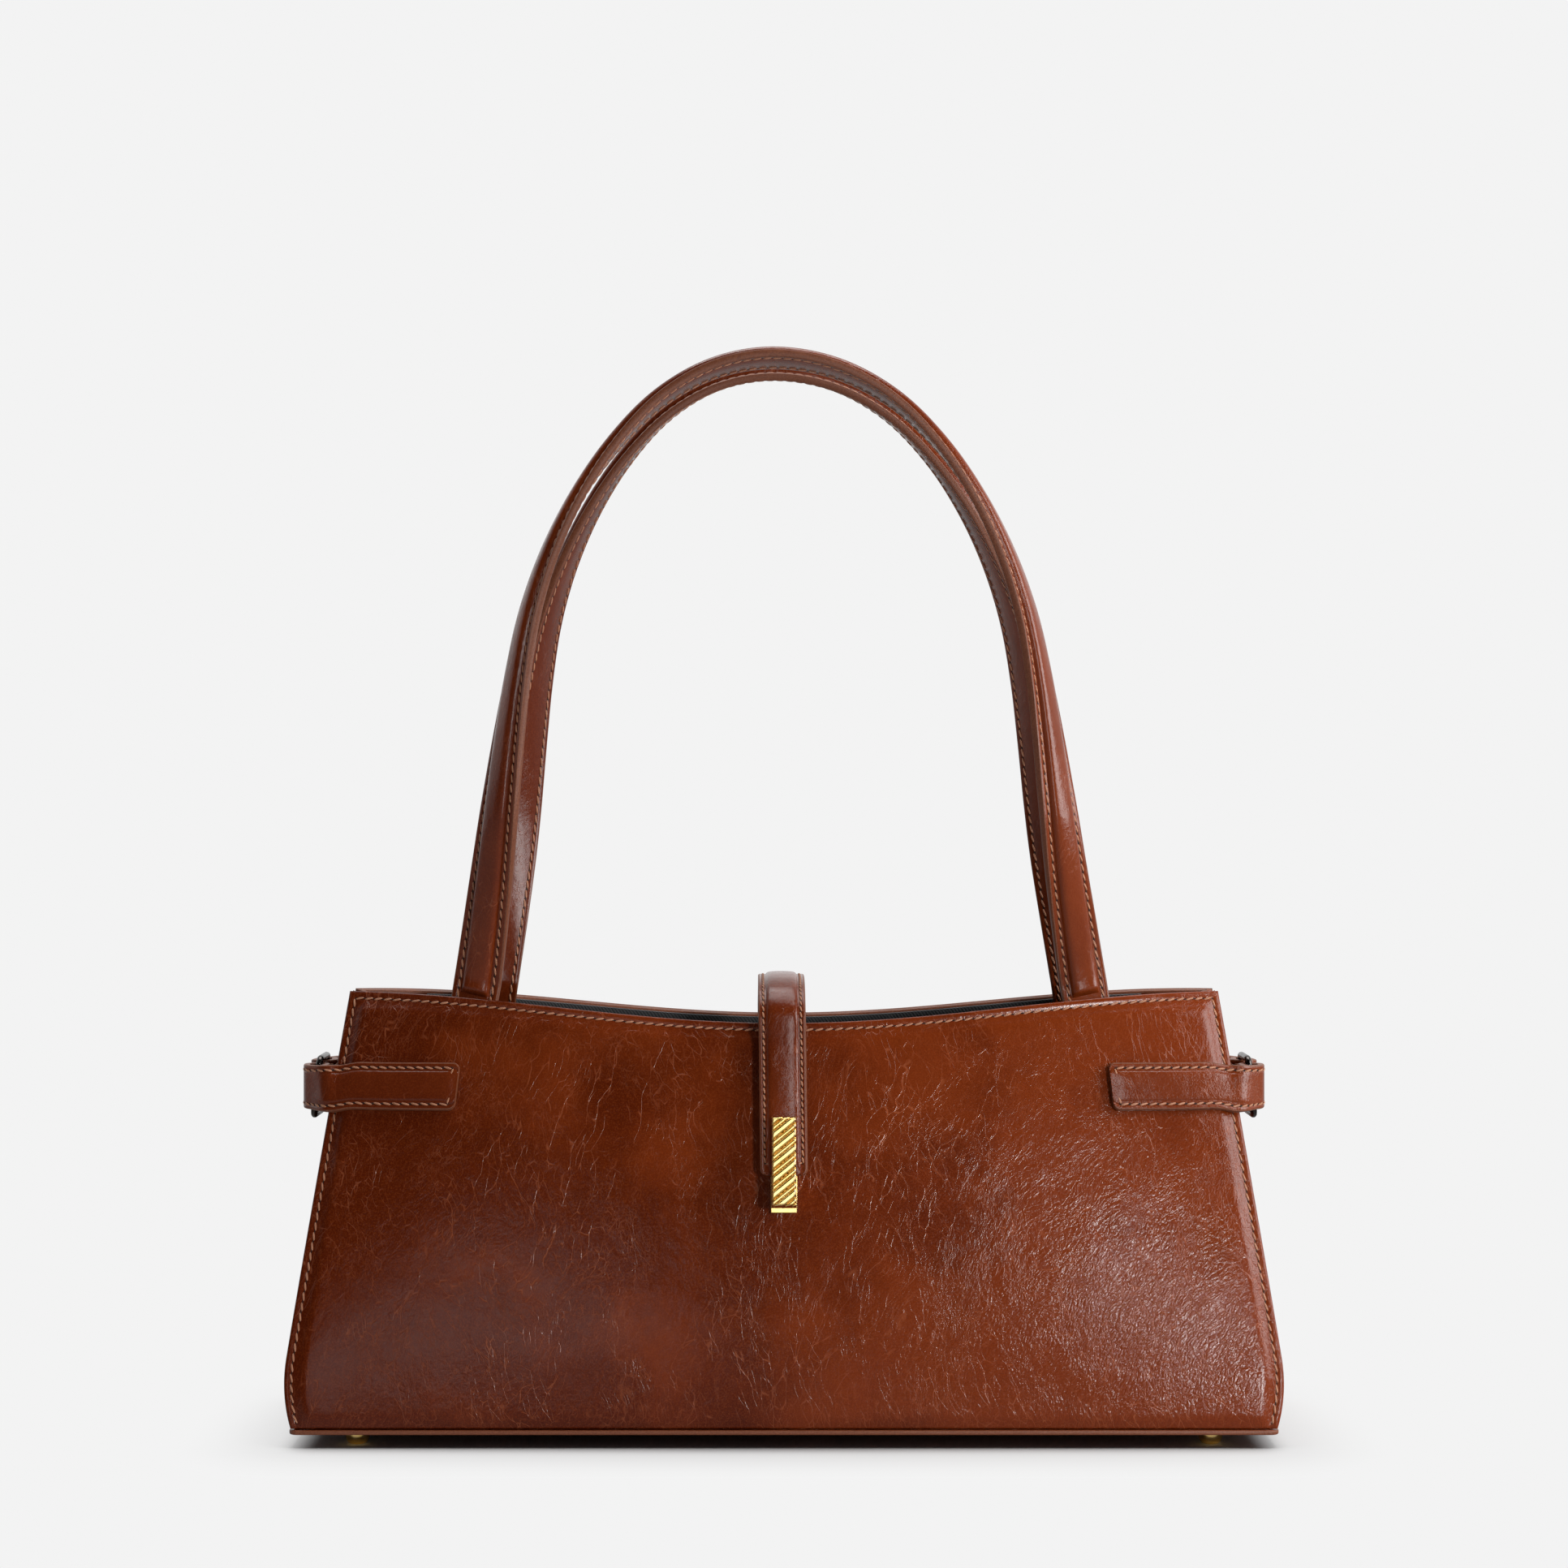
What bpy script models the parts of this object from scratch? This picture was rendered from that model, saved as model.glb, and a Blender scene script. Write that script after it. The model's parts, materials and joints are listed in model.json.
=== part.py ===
"""Tote bag with two shoulder handles, a clasped tab and a belt round each folded side.

Metres, +Z up. The front faces -Y and the origin is on the floor, under the middle of the bag.
"""

import math

import bmesh
import bpy
from mathutils import Matrix, Vector
from mathutils.geometry import interpolate_bezier

# Fits
CLEARANCE = 0.0004  # between pieces that lie on one another
LOOSE_FIT = 0.0012  # round the metal rings in their leather loops
FOLD_GAP = 0.0006  # across each line that a strap folds on

# Body, outside the seams
SIDE_LINE_WIDTH = 0.3486  # the sloping side lines, carried down to the floor
TOP_WIDTH = 0.307
CORNER_HEIGHT = 0.153
MOUTH_SAG = 0.010  # how far the mouth dips between its corners
BASE_DEPTH = 0.100
MOUTH_DEPTH = 0.052
CORNER_DEPTH = 0.016
SIDE_TUCK = 0.0087  # how far the foot of each side line turns in
TUCK_HEIGHT = 0.030
FRONT_BOW = 1.6  # power of the belly down the middle
SIDE_BOW = 1.2  # power of the slope down the side edges
CROWN = 2.5  # power of the bow across each panel

# Leather and what is under it
PANEL_LEATHER = 0.0020
PAD_RISE = 0.0012
BORDER = 0.0045
BORDER_SLOPE = 0.0025
PADDING_THICKNESS = 0.0020
PADDING_MARGIN = 0.0100
GUSSET_LEATHER = 0.0012
GUSSET_FOLD = 0.036  # depth of the inward fold at the mouth
GUSSET_FLAT = 0.15  # share of the height, from the base, that stays unfolded
GUSSET_BULGE = 0.0015
SEAM_INSET = 0.0008
LINING_FABRIC = 0.0008
LINING_DROP = 0.0005  # below the panels' top edge
LINING_CORNER_LOW = 0.955
LINING_CORNER_HIGH = 0.84
BASE_LEATHER = 0.0017
BASE_FLANGE = 0.0006
BASE_CORNER = 0.003
BOARD_THICKNESS = 0.0020
BOARD_MARGIN = 0.0050

# Feet
FOOT_DIAMETER = 0.0084
FOOT_HEIGHT = 0.0042
FOOT_INSET_X = 0.0218  # of each foot's middle from the base's edge
FOOT_INSET_Y = 0.0088
FOOT_FACE_DIAMETER = 0.0050
FOOT_STUD = 0.0024
WASHER_DIAMETER = 0.0090
WASHER_THICKNESS = 0.0008

# Handles
HANDLE_RISE = 0.2190  # from the hinge line to the top of the arch's centreline
FRONT_HANDLE_SPAN = 0.2136
BACK_HANDLE_SPAN = 0.2082
FRONT_HANDLE_SHIFT = -0.0013  # of its feet from the middle
BACK_HANDLE_SHIFT = 0.0002
FRONT_HANDLE_SWAY = -0.0025  # how far the top of the arch stands from over its feet
BACK_HANDLE_SWAY = -0.0039
HANDLE_WIDTH = 0.0168
HANDLE_FLANGE = 0.0028
HANDLE_PAD = 0.0026
HANDLE_PAD_WIDTH = 0.0100
HANDLE_OFFSET = 0.0225  # of the arch from the bag's middle plane
HANDLE_LIFT = 0.0040  # hinge line above the mouth's edge
HANDLE_END_DEPTH = 0.032  # how far each end is sewn down inside
HANDLE_TWIST = math.radians(98.7)
TWIST_EASE = 1.6
ARCH = (
    (1.000, 1.000, 0.000),
    (0.969, 0.966, 0.100),
    (0.939, 0.933, 0.199),
    (0.911, 0.905, 0.299),
    (0.883, 0.879, 0.398),
    (0.850, 0.849, 0.498),
    (0.805, 0.807, 0.596),
    (0.735, 0.741, 0.691),
    (0.639, 0.650, 0.781),
    (0.517, 0.533, 0.864),
    (0.370, 0.386, 0.935),
    (0.194, 0.204, 0.983),
    (0.000, 0.000, 1.000),
)  # share of the half span on the left leg and on the right one, share of the rise
ARCH_STEPS = 2  # between those points

# Closure tab and clasp
TAB_WIDTH = 0.0164
TAB_FLANGE = 0.0026
TAB_PAD = 0.0010
TAB_PAD_WIDTH = 0.0108
TAB_STANDOFF = 0.0024
TAB_END_HEIGHT = 0.0910
TAB_ANCHOR_DEPTH = 0.032
TAB_ARCH = 0.0139  # top of the tab's centreline over the mouth's edge
TAB_DRIFT = 0.0014  # its sewn end stands this far towards -X of its loose end
TAB_CORNER = 0.0022
BAR_WIDTH = 0.0086
BAR_LENGTH = 0.0310
BAR_THICKNESS = 0.0046
BAR_RIB_PITCH = 0.0051  # along the bar, for one broad and one narrow rib
BAR_RIB_RISE = 0.0009
BAR_RIB_SLOPE = math.radians(39)
BAR_RIBS = ((0.32, 0.28, 1.0), (0.79, 0.16, 0.85))  # middle and half width in a pitch, height
BAR_FOOT_LENGTH = 0.0108
BAR_OVERHANG = 0.0115  # below the tab's end
SEAT_HEIGHT = 0.0135
SEAT_THICKNESS = 0.0008
BACK_PLATE_THICKNESS = 0.0010
BACK_PLATE_LENGTH = 0.0160
SCREW_SHANK = 0.0016
SCREW_HEAD = 0.0030
SCREW_HEAD_THICKNESS = 0.0006
SCREW_SPACING = 0.0100
MAGNET_DIAMETER = 0.0060
MAGNET_THICKNESS = 0.0016

# Side straps and rings
STRAP_WIDTH = 0.0168
LOOP_WIDTH = 0.0154  # where a strap goes round its ring
STRAP_HEIGHT = 0.1203
STRAP_DROP = 0.0006  # how much lower a strap is at its ring than at its stitched end
STRAP_LEATHER = 0.0024
STRAP_PAD = 0.0005
STRAP_END = 0.113  # of the stitched end from the middle
STRAP_CORNER = 0.0022
STRAP_TAIL = 0.0068
RING_WIRE = 0.0024
RING_OPENING = 0.0174  # inside height
RING_SPREAD = 0.0196  # between the two upright bars
RING_REACH = 0.0068  # from the panel's side edge out to the bars
RING_CORNER = 0.0024
RING_DROP = 0.0006
RING_LEAN = math.radians(6)  # its foot stands out like the bag's side

# Mesh fineness
ROUND_STEPS = 20
MILLIMETRE = 0.001

FRONT, BACK = -1, 1
LEFT, RIGHT = -1, 1


def clear_scene():
    for item in list(bpy.data.objects):
        bpy.data.objects.remove(item, do_unlink=True)


def collection(name):
    made = bpy.data.collections.new(name)
    bpy.context.scene.collection.children.link(made)
    return made


def material(name, colour, roughness, metallic=0.0):
    made = bpy.data.materials.new(name)
    made.use_nodes = True
    shader = made.node_tree.nodes["Principled BSDF"]
    shader.inputs["Base Color"].default_value = (*colour, 1.0)
    shader.inputs["Roughness"].default_value = roughness
    shader.inputs["Metallic"].default_value = metallic
    made.diffuse_color = (*colour, 1.0)
    return made


def add_object(name, mesh, finish, group, location=(0, 0, 0), rotation=(0, 0, 0)):
    made = bpy.data.objects.new(name, mesh)
    made.location = location
    made.rotation_euler = rotation
    if finish:
        mesh.materials.append(finish)
    group.objects.link(made)
    return made


def finished_mesh(name, shape, smooth_angle=35):
    """A mesh from a bmesh, shaded smooth except at its sharp edges."""
    mesh = bpy.data.meshes.new(name)
    shape.to_mesh(mesh)
    shape.free()
    mesh.shade_smooth()
    mesh.set_sharp_from_angle(angle=math.radians(smooth_angle))
    return mesh


def ease(value):
    value = min(1.0, max(0.0, value))
    return value * value * (3 - 2 * value)


def mix(a, b, share):
    return a + (b - a) * share


# Heights that stack up from the floor
BASE_UNDERSIDE = FOOT_HEIGHT + CLEARANCE / 2
BASE_TOP = BASE_UNDERSIDE + BASE_LEATHER
PANEL_BOTTOM = BASE_TOP + CLEARANCE
BOARD_BOTTOM = BASE_TOP + CLEARANCE
BOARD_TOP = BOARD_BOTTOM + BOARD_THICKNESS
LINING_BOTTOM = BOARD_TOP + WASHER_THICKNESS + 3 * CLEARANCE + LINING_FABRIC


# Form of the body

def half_width(height):
    line = mix(SIDE_LINE_WIDTH, TOP_WIDTH, height / CORNER_HEIGHT) / 2
    tuck = SIDE_TUCK * max(0.0, 1 - height / TUCK_HEIGHT) ** 2
    return line - tuck


def edge_height(across):
    """Height of the mouth's edge, for across from -1 at one corner to 1 at the other."""
    return CORNER_HEIGHT - MOUTH_SAG * math.cos(math.pi * across / 2) ** 2


def side_depth(up):
    return mix(BASE_DEPTH, CORNER_DEPTH, max(up, 0.0) ** SIDE_BOW) / 2


def middle_depth(up):
    return mix(BASE_DEPTH, MOUTH_DEPTH, max(up, 0.0) ** FRONT_BOW) / 2


def body_depth(across, up):
    crown = 1 - abs(across) ** CROWN
    return mix(side_depth(up), middle_depth(up), crown)


def front_surface(across, up):
    height = mix(PANEL_BOTTOM, edge_height(across), up)
    side_height = mix(PANEL_BOTTOM, CORNER_HEIGHT, up)
    return Vector((across * half_width(side_height), -body_depth(across, up), height))


def front_tangents(across, up):
    step = 0.004
    left, right = max(-1, across - step), min(1, across + step)
    low, high = max(0, up - step), min(1, up + step)
    along_x = (front_surface(right, up) - front_surface(left, up)).normalized()
    along_z = (front_surface(across, high) - front_surface(across, low)).normalized()
    return along_x, along_z


def front_point(across, up, inward=0.0):
    """A point of the front panel's border plane, or one that lies deeper into the bag."""
    along_x, along_z = front_tangents(across, up)
    outward = along_x.cross(along_z).normalized()
    return front_surface(across, up) - outward * inward


def up_at(height, across=0.0):
    return (height - PANEL_BOTTOM) / (edge_height(across) - PANEL_BOTTOM)


def across_at(x, up):
    return x / half_width(mix(PANEL_BOTTOM, CORNER_HEIGHT, up))


def pad_rise(across, up):
    width = half_width(mix(PANEL_BOTTOM, CORNER_HEIGHT, up))
    height = edge_height(across) - PANEL_BOTTOM
    from_edge = min((1 - abs(across)) * width, (1 - up) * height)
    from_base = up * height + BORDER
    return PAD_RISE * ease((min(from_edge, from_base) - BORDER) / BORDER_SLOPE)


def gusset_fold(up):
    return GUSSET_FOLD * ease((up - GUSSET_FLAT) / (1 - GUSSET_FLAT))


def gusset_point(across, up):
    """The right gusset's outer face, for across from -1 at the front seam to 1 at the back one."""
    height = mix(PANEL_BOTTOM, CORNER_HEIGHT - CLEARANCE, up)
    arch = math.cos(math.pi * across / 2)
    bulge = GUSSET_BULGE * math.sin(math.pi * min(1.0, up / (2 * GUSSET_FLAT)))
    seam = side_depth(up) - PANEL_LEATHER - CLEARANCE - GUSSET_LEATHER
    x = half_width(height) - SEAM_INSET + (bulge - gusset_fold(up)) * arch
    return Vector((x, across * seam, height - MOUTH_SAG * arch * up**6))


def grid_solid(name, stops_across, stops_up, place, thickness, finish, group):
    """A grid laid on place(across, up), given its thickness behind the outward face."""
    shape = bmesh.new()
    columns, rows = len(stops_across) - 1, len(stops_up) - 1
    bmesh.ops.create_grid(shape, x_segments=columns, y_segments=rows, size=1.0)
    for corner in shape.verts:
        column = round((corner.co.x + 1) / 2 * columns)
        row = round((corner.co.y + 1) / 2 * rows)
        corner.co = place(stops_across[column], stops_up[row])
    made = add_object(name, finished_mesh(name, shape), finish, group)
    shell = made.modifiers.new("thickness", "SOLIDIFY")
    shell.thickness = thickness
    shell.offset = -1.0
    shell.use_even_offset = True
    return made


def even_stops(low, high, count):
    return [mix(low, high, i / count) for i in range(count + 1)]


def bordered_stops(length, count, lower_border=BORDER):
    """Stops from 0 to 1 with the edges of the flat border among them."""
    low = [0.0, lower_border / length, (lower_border + BORDER_SLOPE) / length]
    high = [1 - (BORDER + BORDER_SLOPE) / length, 1 - BORDER / length, 1.0]
    between = even_stops(low[-1], high[0], count)[1:-1]
    return low + between + high


def to_back(point):
    """Turns a place on the front round to the back."""
    return Vector((-point.x, -point.y, point.z))


def side_of(point, side):
    """Turns a place on the right side round to the given side."""
    return point if side == RIGHT else to_back(point)


def loft(name, sections, finish, group, closed_ends=True):
    """Skins a run of closed sections that have as many points each."""
    shape = bmesh.new()
    rings = [[shape.verts.new(point) for point in section] for section in sections]
    count = len(rings[0])
    for ring, following in zip(rings, rings[1:]):
        for i in range(count):
            j = (i + 1) % count
            shape.faces.new((ring[i], ring[j], following[j], following[i]))
    if closed_ends:
        shape.faces.new(rings[0])
        shape.faces.new(rings[-1])
    bmesh.ops.recalc_face_normals(shape, faces=shape.faces)
    return add_object(name, finished_mesh(name, shape), finish, group)


def strap_profile(width, flange, pad, pad_width):
    """Half round the strap's section and back: (across, out) with the padded face outwards."""
    edge, shoulder = width / 2, pad_width / 2
    crown = [(shoulder, 0.0), (shoulder * 0.80, 0.62), (shoulder * 0.42, 0.95)]
    right = [(x, flange / 2 + pad * rise) for x, rise in crown]
    left = [(-x, y) for x, y in reversed(right)]
    top = [(edge, flange / 2), *right, *left, (-edge, flange / 2)]
    return top + [(-edge, -flange / 2), (0.0, -flange / 2), (edge, -flange / 2)]


def rounded_end(distance, radius):
    """How much narrower each side is, this far from a strap's end with rounded corners."""
    if distance >= radius:
        return 0.0
    return radius - math.sqrt(radius**2 - (radius - distance) ** 2)


def strap(name, stations, section, width, finish, group):
    """Lofts a section along stations of (place, across, outward, end inset, pad share)."""
    thin = min(y for _, y in section)
    rings = []
    for place, across, outward, inset, pad in stations:
        narrow = (width / 2 - inset) / (width / 2)
        ring = []
        for x, y in section:
            lift = y if y <= -thin else mix(-thin, y, pad)
            ring.append(place + across * (x * narrow) + outward * lift)
        rings.append(ring)
    return loft(name, rings, finish, group)


def smooth_path(points, steps):
    """Points along a smooth curve through the given ones, with its ends straight."""
    padded = [points[0] * 2 - points[1], *points, points[-1] * 2 - points[-2]]
    path = [points[0].copy()]
    for before, start, end, after in zip(padded, padded[1:], padded[2:], padded[3:]):
        leave = start + (end - before) / 6
        arrive = end - (after - start) / 6
        path += interpolate_bezier(start, leave, arrive, end, steps + 1)[1:]
    return path


def direction_at(path, i):
    low, high = max(i - 1, 0), min(i + 1, len(path) - 1)
    return (path[high] - path[low]).normalized()


def turned(name, profile, finish, group, location=(0, 0, 0), rotation=(0, 0, 0), closed=False):
    """A solid of revolution about its own Z, from a profile that runs down its outer side."""
    mesh = bpy.data.meshes.new(name)
    points = [(radius, 0.0, height) for radius, height in profile]
    edges = [(i, i + 1) for i in range(len(points) - 1)]
    if closed:
        edges.append((len(points) - 1, 0))
    mesh.from_pydata(points, edges, [])
    made = add_object(name, mesh, finish, group, location, rotation)
    spin = made.modifiers.new("turn", "SCREW")
    spin.steps = ROUND_STEPS
    spin.render_steps = ROUND_STEPS
    spin.use_merge_vertices = True
    spin.merge_threshold = 0.00001
    spin.use_smooth_shade = True
    return made


def cylinder(shape, radius, low, high, x=0.0, y=0.0):
    """Adds an upright cylinder to a bmesh."""
    place = Matrix.Translation((x, y, (low + high) / 2))
    bmesh.ops.create_cone(
        shape,
        cap_ends=True,
        segments=ROUND_STEPS,
        radius1=radius,
        radius2=radius,
        depth=high - low,
        matrix=place,
    )


def box(shape, size, centre=(0, 0, 0)):
    """Adds a box to a bmesh and gives back its corners."""
    place = Matrix.Translation(centre) @ Matrix.Diagonal((*size, 1.0))
    return bmesh.ops.create_cube(shape, size=1.0, matrix=place)["verts"]


def round_upright_edges(shape, radius, segments=4):
    upright = [e for e in shape.edges if abs((e.verts[0].co - e.verts[1].co).normalized().z) > 0.9]
    bmesh.ops.bevel(shape, geom=upright, offset=radius, segments=segments, profile=0.5, affect="EDGES")


def cut(target, cutter):
    drill = target.modifiers.new("cut", "BOOLEAN")
    drill.operation = "DIFFERENCE"
    drill.solver = "EXACT"
    drill.object = cutter


def add_cutter(name, shape, group, location=(0, 0, 0), rotation=(0, 0, 0)):
    made = add_object(name, finished_mesh(name, shape), None, group, location, rotation)
    made.hide_render = True
    made.display_type = "WIRE"
    return made


# Body pieces

def make_panels(parts, leather, foam):
    """Front and back: a stitched flat border round a field that stands out over its padding."""
    half = half_width(CORNER_HEIGHT / 2)
    right = [2 * stop - 1 for stop in bordered_stops(2 * half, 24)]
    up = bordered_stops(CORNER_HEIGHT - PANEL_BOTTOM, 10, 0.0)[1:]
    up[0] = 0.0

    def outer(across, level):
        return front_point(across, level, -pad_rise(across, level))

    def padding(across, level):
        inner_face = PANEL_LEATHER + CLEARANCE - PAD_RISE
        return front_point(across, level, inner_face)

    margin = (BORDER + BORDER_SLOPE + PADDING_MARGIN) / half
    lowest = PADDING_MARGIN / CORNER_HEIGHT
    top = up_at(CORNER_HEIGHT - MOUTH_SAG - HANDLE_END_DEPTH)
    pad_across = even_stops(margin - 1, 1 - margin, 14)
    pad_up = even_stops(lowest, top, 6)
    for name, turn in (("front", Vector), ("back", to_back)):
        grid_solid(
            f"{name}_panel", right, up, lambda a, u, t=turn: t(outer(a, u)), PANEL_LEATHER, leather, parts
        )
        grid_solid(
            f"{name}_padding",
            pad_across,
            pad_up,
            lambda a, u, t=turn: t(padding(a, u)),
            PADDING_THICKNESS,
            foam,
            parts,
        )


def make_gussets(parts, leather):
    """Side strips that fold inwards between the panels as they rise."""
    across = even_stops(-1, 1, 14)
    up = even_stops(0, 1, 12)
    for name, side in (("left", LEFT), ("right", RIGHT)):
        grid_solid(
            f"{name}_gusset",
            across,
            up,
            lambda a, u, s=side: side_of(gusset_point(a, u), s),
            GUSSET_LEATHER,
            leather,
            parts,
        )


def make_base(parts, cutters, leather, board_finish):
    """The base leather with its sewn flange, and the board that keeps it flat."""
    low_width = 2 * half_width(PANEL_BOTTOM)
    shape = bmesh.new()
    size = (low_width + 2 * BASE_FLANGE, BASE_DEPTH + 2 * BASE_FLANGE, BASE_LEATHER)
    box(shape, size, (0, 0, BASE_UNDERSIDE + BASE_LEATHER / 2))
    round_upright_edges(shape, BASE_CORNER)
    base = add_object("base_panel", finished_mesh("base_panel", shape), leather, parts)

    shape = bmesh.new()
    size = (low_width - 2 * BOARD_MARGIN, BASE_DEPTH - 2 * BOARD_MARGIN, BOARD_THICKNESS)
    box(shape, size, (0, 0, BOARD_BOTTOM + BOARD_THICKNESS / 2))
    round_upright_edges(shape, BASE_CORNER)
    board = add_object("base_board", finished_mesh("base_board", shape), board_finish, parts)

    holes = bmesh.new()
    for x, y in foot_places():
        cylinder(holes, FOOT_STUD / 2 + CLEARANCE, 0.0, BOARD_TOP + BASE_LEATHER, x, y)
    cutter = add_cutter("foot_holes", holes, cutters)
    cut(base, cutter)
    cut(board, cutter)


def foot_places():
    x_place = half_width(PANEL_BOTTOM) - FOOT_INSET_X
    y_place = BASE_DEPTH / 2 - FOOT_INSET_Y
    return [(x * x_place, y * y_place) for y in (FRONT, BACK) for x in (LEFT, RIGHT)]


def make_feet(parts, gold, steel):
    """Domed feet whose studs come up through the base and spread over washers inside."""
    face, rim, stud = FOOT_FACE_DIAMETER / 2, FOOT_DIAMETER / 2, FOOT_STUD / 2
    washer_low = BOARD_TOP + CLEARANCE
    washer_high = washer_low + WASHER_THICKNESS
    stud_top = washer_high + CLEARANCE
    dome = [
        (mix(face, rim, math.sin(turn)), FOOT_HEIGHT * 0.8 * (1 - math.cos(turn)))
        for turn in even_stops(math.pi / 2, 0, 4)
    ]
    profile = [(0.0, stud_top), (stud, stud_top), (stud, FOOT_HEIGHT), (rim, FOOT_HEIGHT), *dome, (0.0, 0.0)]
    washer = [
        (stud + CLEARANCE, washer_high),
        (WASHER_DIAMETER / 2, washer_high),
        (WASHER_DIAMETER / 2, washer_low),
        (stud + CLEARANCE, washer_low),
    ]
    names = ("front_left", "front_right", "back_left", "back_right")
    for name, (x, y) in zip(names, foot_places()):
        turned(f"foot_{name}", profile, gold, parts, (x, y, 0))
        turned(f"foot_washer_{name}", washer, steel, parts, (x, y, 0), closed=True)


def lining_section(up):
    """One level of the lining's outer face, from the front left round the right side and back."""
    corner = mix(LINING_CORNER_LOW, LINING_CORNER_HIGH, up)
    drop = LINING_DROP / (CORNER_HEIGHT - PANEL_BOTTOM)
    low = (LINING_BOTTOM - LINING_FABRIC - PANEL_BOTTOM) / (CORNER_HEIGHT - PANEL_BOTTOM)
    level = mix(low, 1 - drop, up)
    inward = PANEL_LEATHER - PAD_RISE + PADDING_THICKNESS + 2 * CLEARANCE
    front = [front_point(a, level, inward) for a in even_stops(-corner, corner, 16)]
    bottom_corner = front[-1]
    fold = gusset_point(0.0, level)
    inner_x = fold.x - GUSSET_LEATHER - 2 * CLEARANCE
    side = []
    for a in even_stops(-1, 1, 8)[1:-1]:
        arch = math.cos(math.pi * a / 2)
        x = mix(bottom_corner.x, inner_x, arch)
        height = mix(bottom_corner.z, min(bottom_corner.z, fold.z), arch)
        side.append(Vector((x, -a * bottom_corner.y, height)))
    half = front + side
    return half + [to_back(point) for point in half]


def make_lining(parts, cloth):
    """The open-topped inner bag, sewn just under the mouth's edge."""
    levels = even_stops(0, 1, 9)
    shape = bmesh.new()
    rings = [[shape.verts.new(point) for point in lining_section(level)] for level in levels]
    floor = LINING_BOTTOM - LINING_FABRIC
    for corner in rings[0]:
        corner.co.z = floor
    count = len(rings[0])
    for ring, following in zip(rings, rings[1:]):
        for i in range(count):
            j = (i + 1) % count
            shape.faces.new((ring[i], ring[j], following[j], following[i]))
    shape.faces.new(list(reversed(rings[0])))
    made = add_object("lining", finished_mesh("lining", shape), cloth, parts)
    shell = made.modifiers.new("thickness", "SOLIDIFY")
    shell.thickness = LINING_FABRIC
    shell.offset = -1.0
    shell.use_even_offset = False


# Handles

def handle_layers():
    """How deep the handle ends' middle lies behind the panel's border plane."""
    lining_face = PANEL_LEATHER - PAD_RISE + PADDING_THICKNESS + 2 * CLEARANCE + LINING_FABRIC
    return lining_face + CLEARANCE + HANDLE_FLANGE / 2


def handle_foot(span):
    """Where a right leg crosses the hinge line: its place, across and outward directions."""
    across = across_at(span / 2, 1.0)
    along_x, along_z = front_tangents(across, 1.0)
    outward = along_x.cross(along_z).normalized()
    place = front_point(across, 1.0, handle_layers())
    rise = HANDLE_LIFT + edge_height(across) - place.z
    return place + along_z * (rise / along_z.z), along_x, along_z, outward


def hinge_line(span):
    """(y, z) of a front handle's hinge: on the face that it folds towards, at its nearest edge."""
    place, along_x, _, outward = handle_foot(span)
    nearest = place - along_x * (HANDLE_WIDTH / 2) + outward * (HANDLE_FLANGE / 2)
    return nearest.y - CLEARANCE / 2, place.z


def arch_stations(span, side):
    """Stations of one leg of the front handle, drawn on the right, from the hinge line to the top."""
    foot, along_x, _, outward = handle_foot(span)
    start = foot.z + FOLD_GAP / 2
    points = []
    for left_share, right_share, rise in ARCH:
        share = right_share if side == RIGHT else left_share
        points.append(Vector((share * span / 2, 0, start + rise * HANDLE_RISE)))
    beyond = Vector((-points[-2].x, 0, points[-2].z))
    path = smooth_path([*points, beyond], ARCH_STEPS)[:-ARCH_STEPS]
    lengths = [0.0]
    for before, after in zip(path, path[1:]):
        lengths.append(lengths[-1] + (after - before).length)
    first_twist = math.atan2(-outward.x, -outward.y)
    stations = []
    for i, point in enumerate(path):
        share = lengths[i] / lengths[-1]
        rise = (point.z - start) / HANDLE_RISE
        along = direction_at(path, i)
        if i == 0:
            along = Vector((0, 0, 1))
        if i == len(path) - 1:
            along = Vector((-1, 0, 0))
        away = Vector((along.z, 0, -along.x))
        twist = mix(abs(first_twist), HANDLE_TWIST, 1 - (1 - share) ** TWIST_EASE)
        normal = Vector((0, -1, 0)) * math.cos(twist) + away * math.sin(twist)
        across = away * math.cos(twist) + Vector((0, 1, 0)) * math.sin(twist)
        y = mix(foot.y, -HANDLE_OFFSET, ease(rise / 0.30))
        pad = ease(lengths[i] / 0.010)
        stations.append((Vector((point.x, y, point.z)), across, normal, rise, pad))
    return stations


def handle_path(span, shift, sway):
    """Stations of a whole front handle, from its left leg over to its right one."""
    whole = []
    for place, across, normal, rise, pad in arch_stations(span, LEFT)[:-1]:
        move = Vector((shift + sway * rise**2, 0, 0))
        mirrored = Vector((-place.x, place.y, place.z)) + move
        across_left = Vector((-across.x, across.y, across.z))
        normal_left = Vector((-normal.x, normal.y, normal.z))
        whole.append((mirrored, across_left, normal_left, 0.0, pad))
    for place, across, normal, rise, pad in reversed(arch_stations(span, RIGHT)):
        move = Vector((shift + sway * rise**2, 0, 0))
        whole.append((place + move, across, normal, 0.0, pad))
    return whole


def mirror_y(vector):
    return Vector((vector.x, -vector.y, vector.z))


def end_depths(deepest):
    """Depths of a sewn-in end's stations, closer together round its corners."""
    corners = [deepest - step for step in (0.0, 0.0004, 0.0011, TAB_CORNER)]
    return corners + [deepest * share for share in (0.69, 0.46, 0.23, 0.0)]


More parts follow.
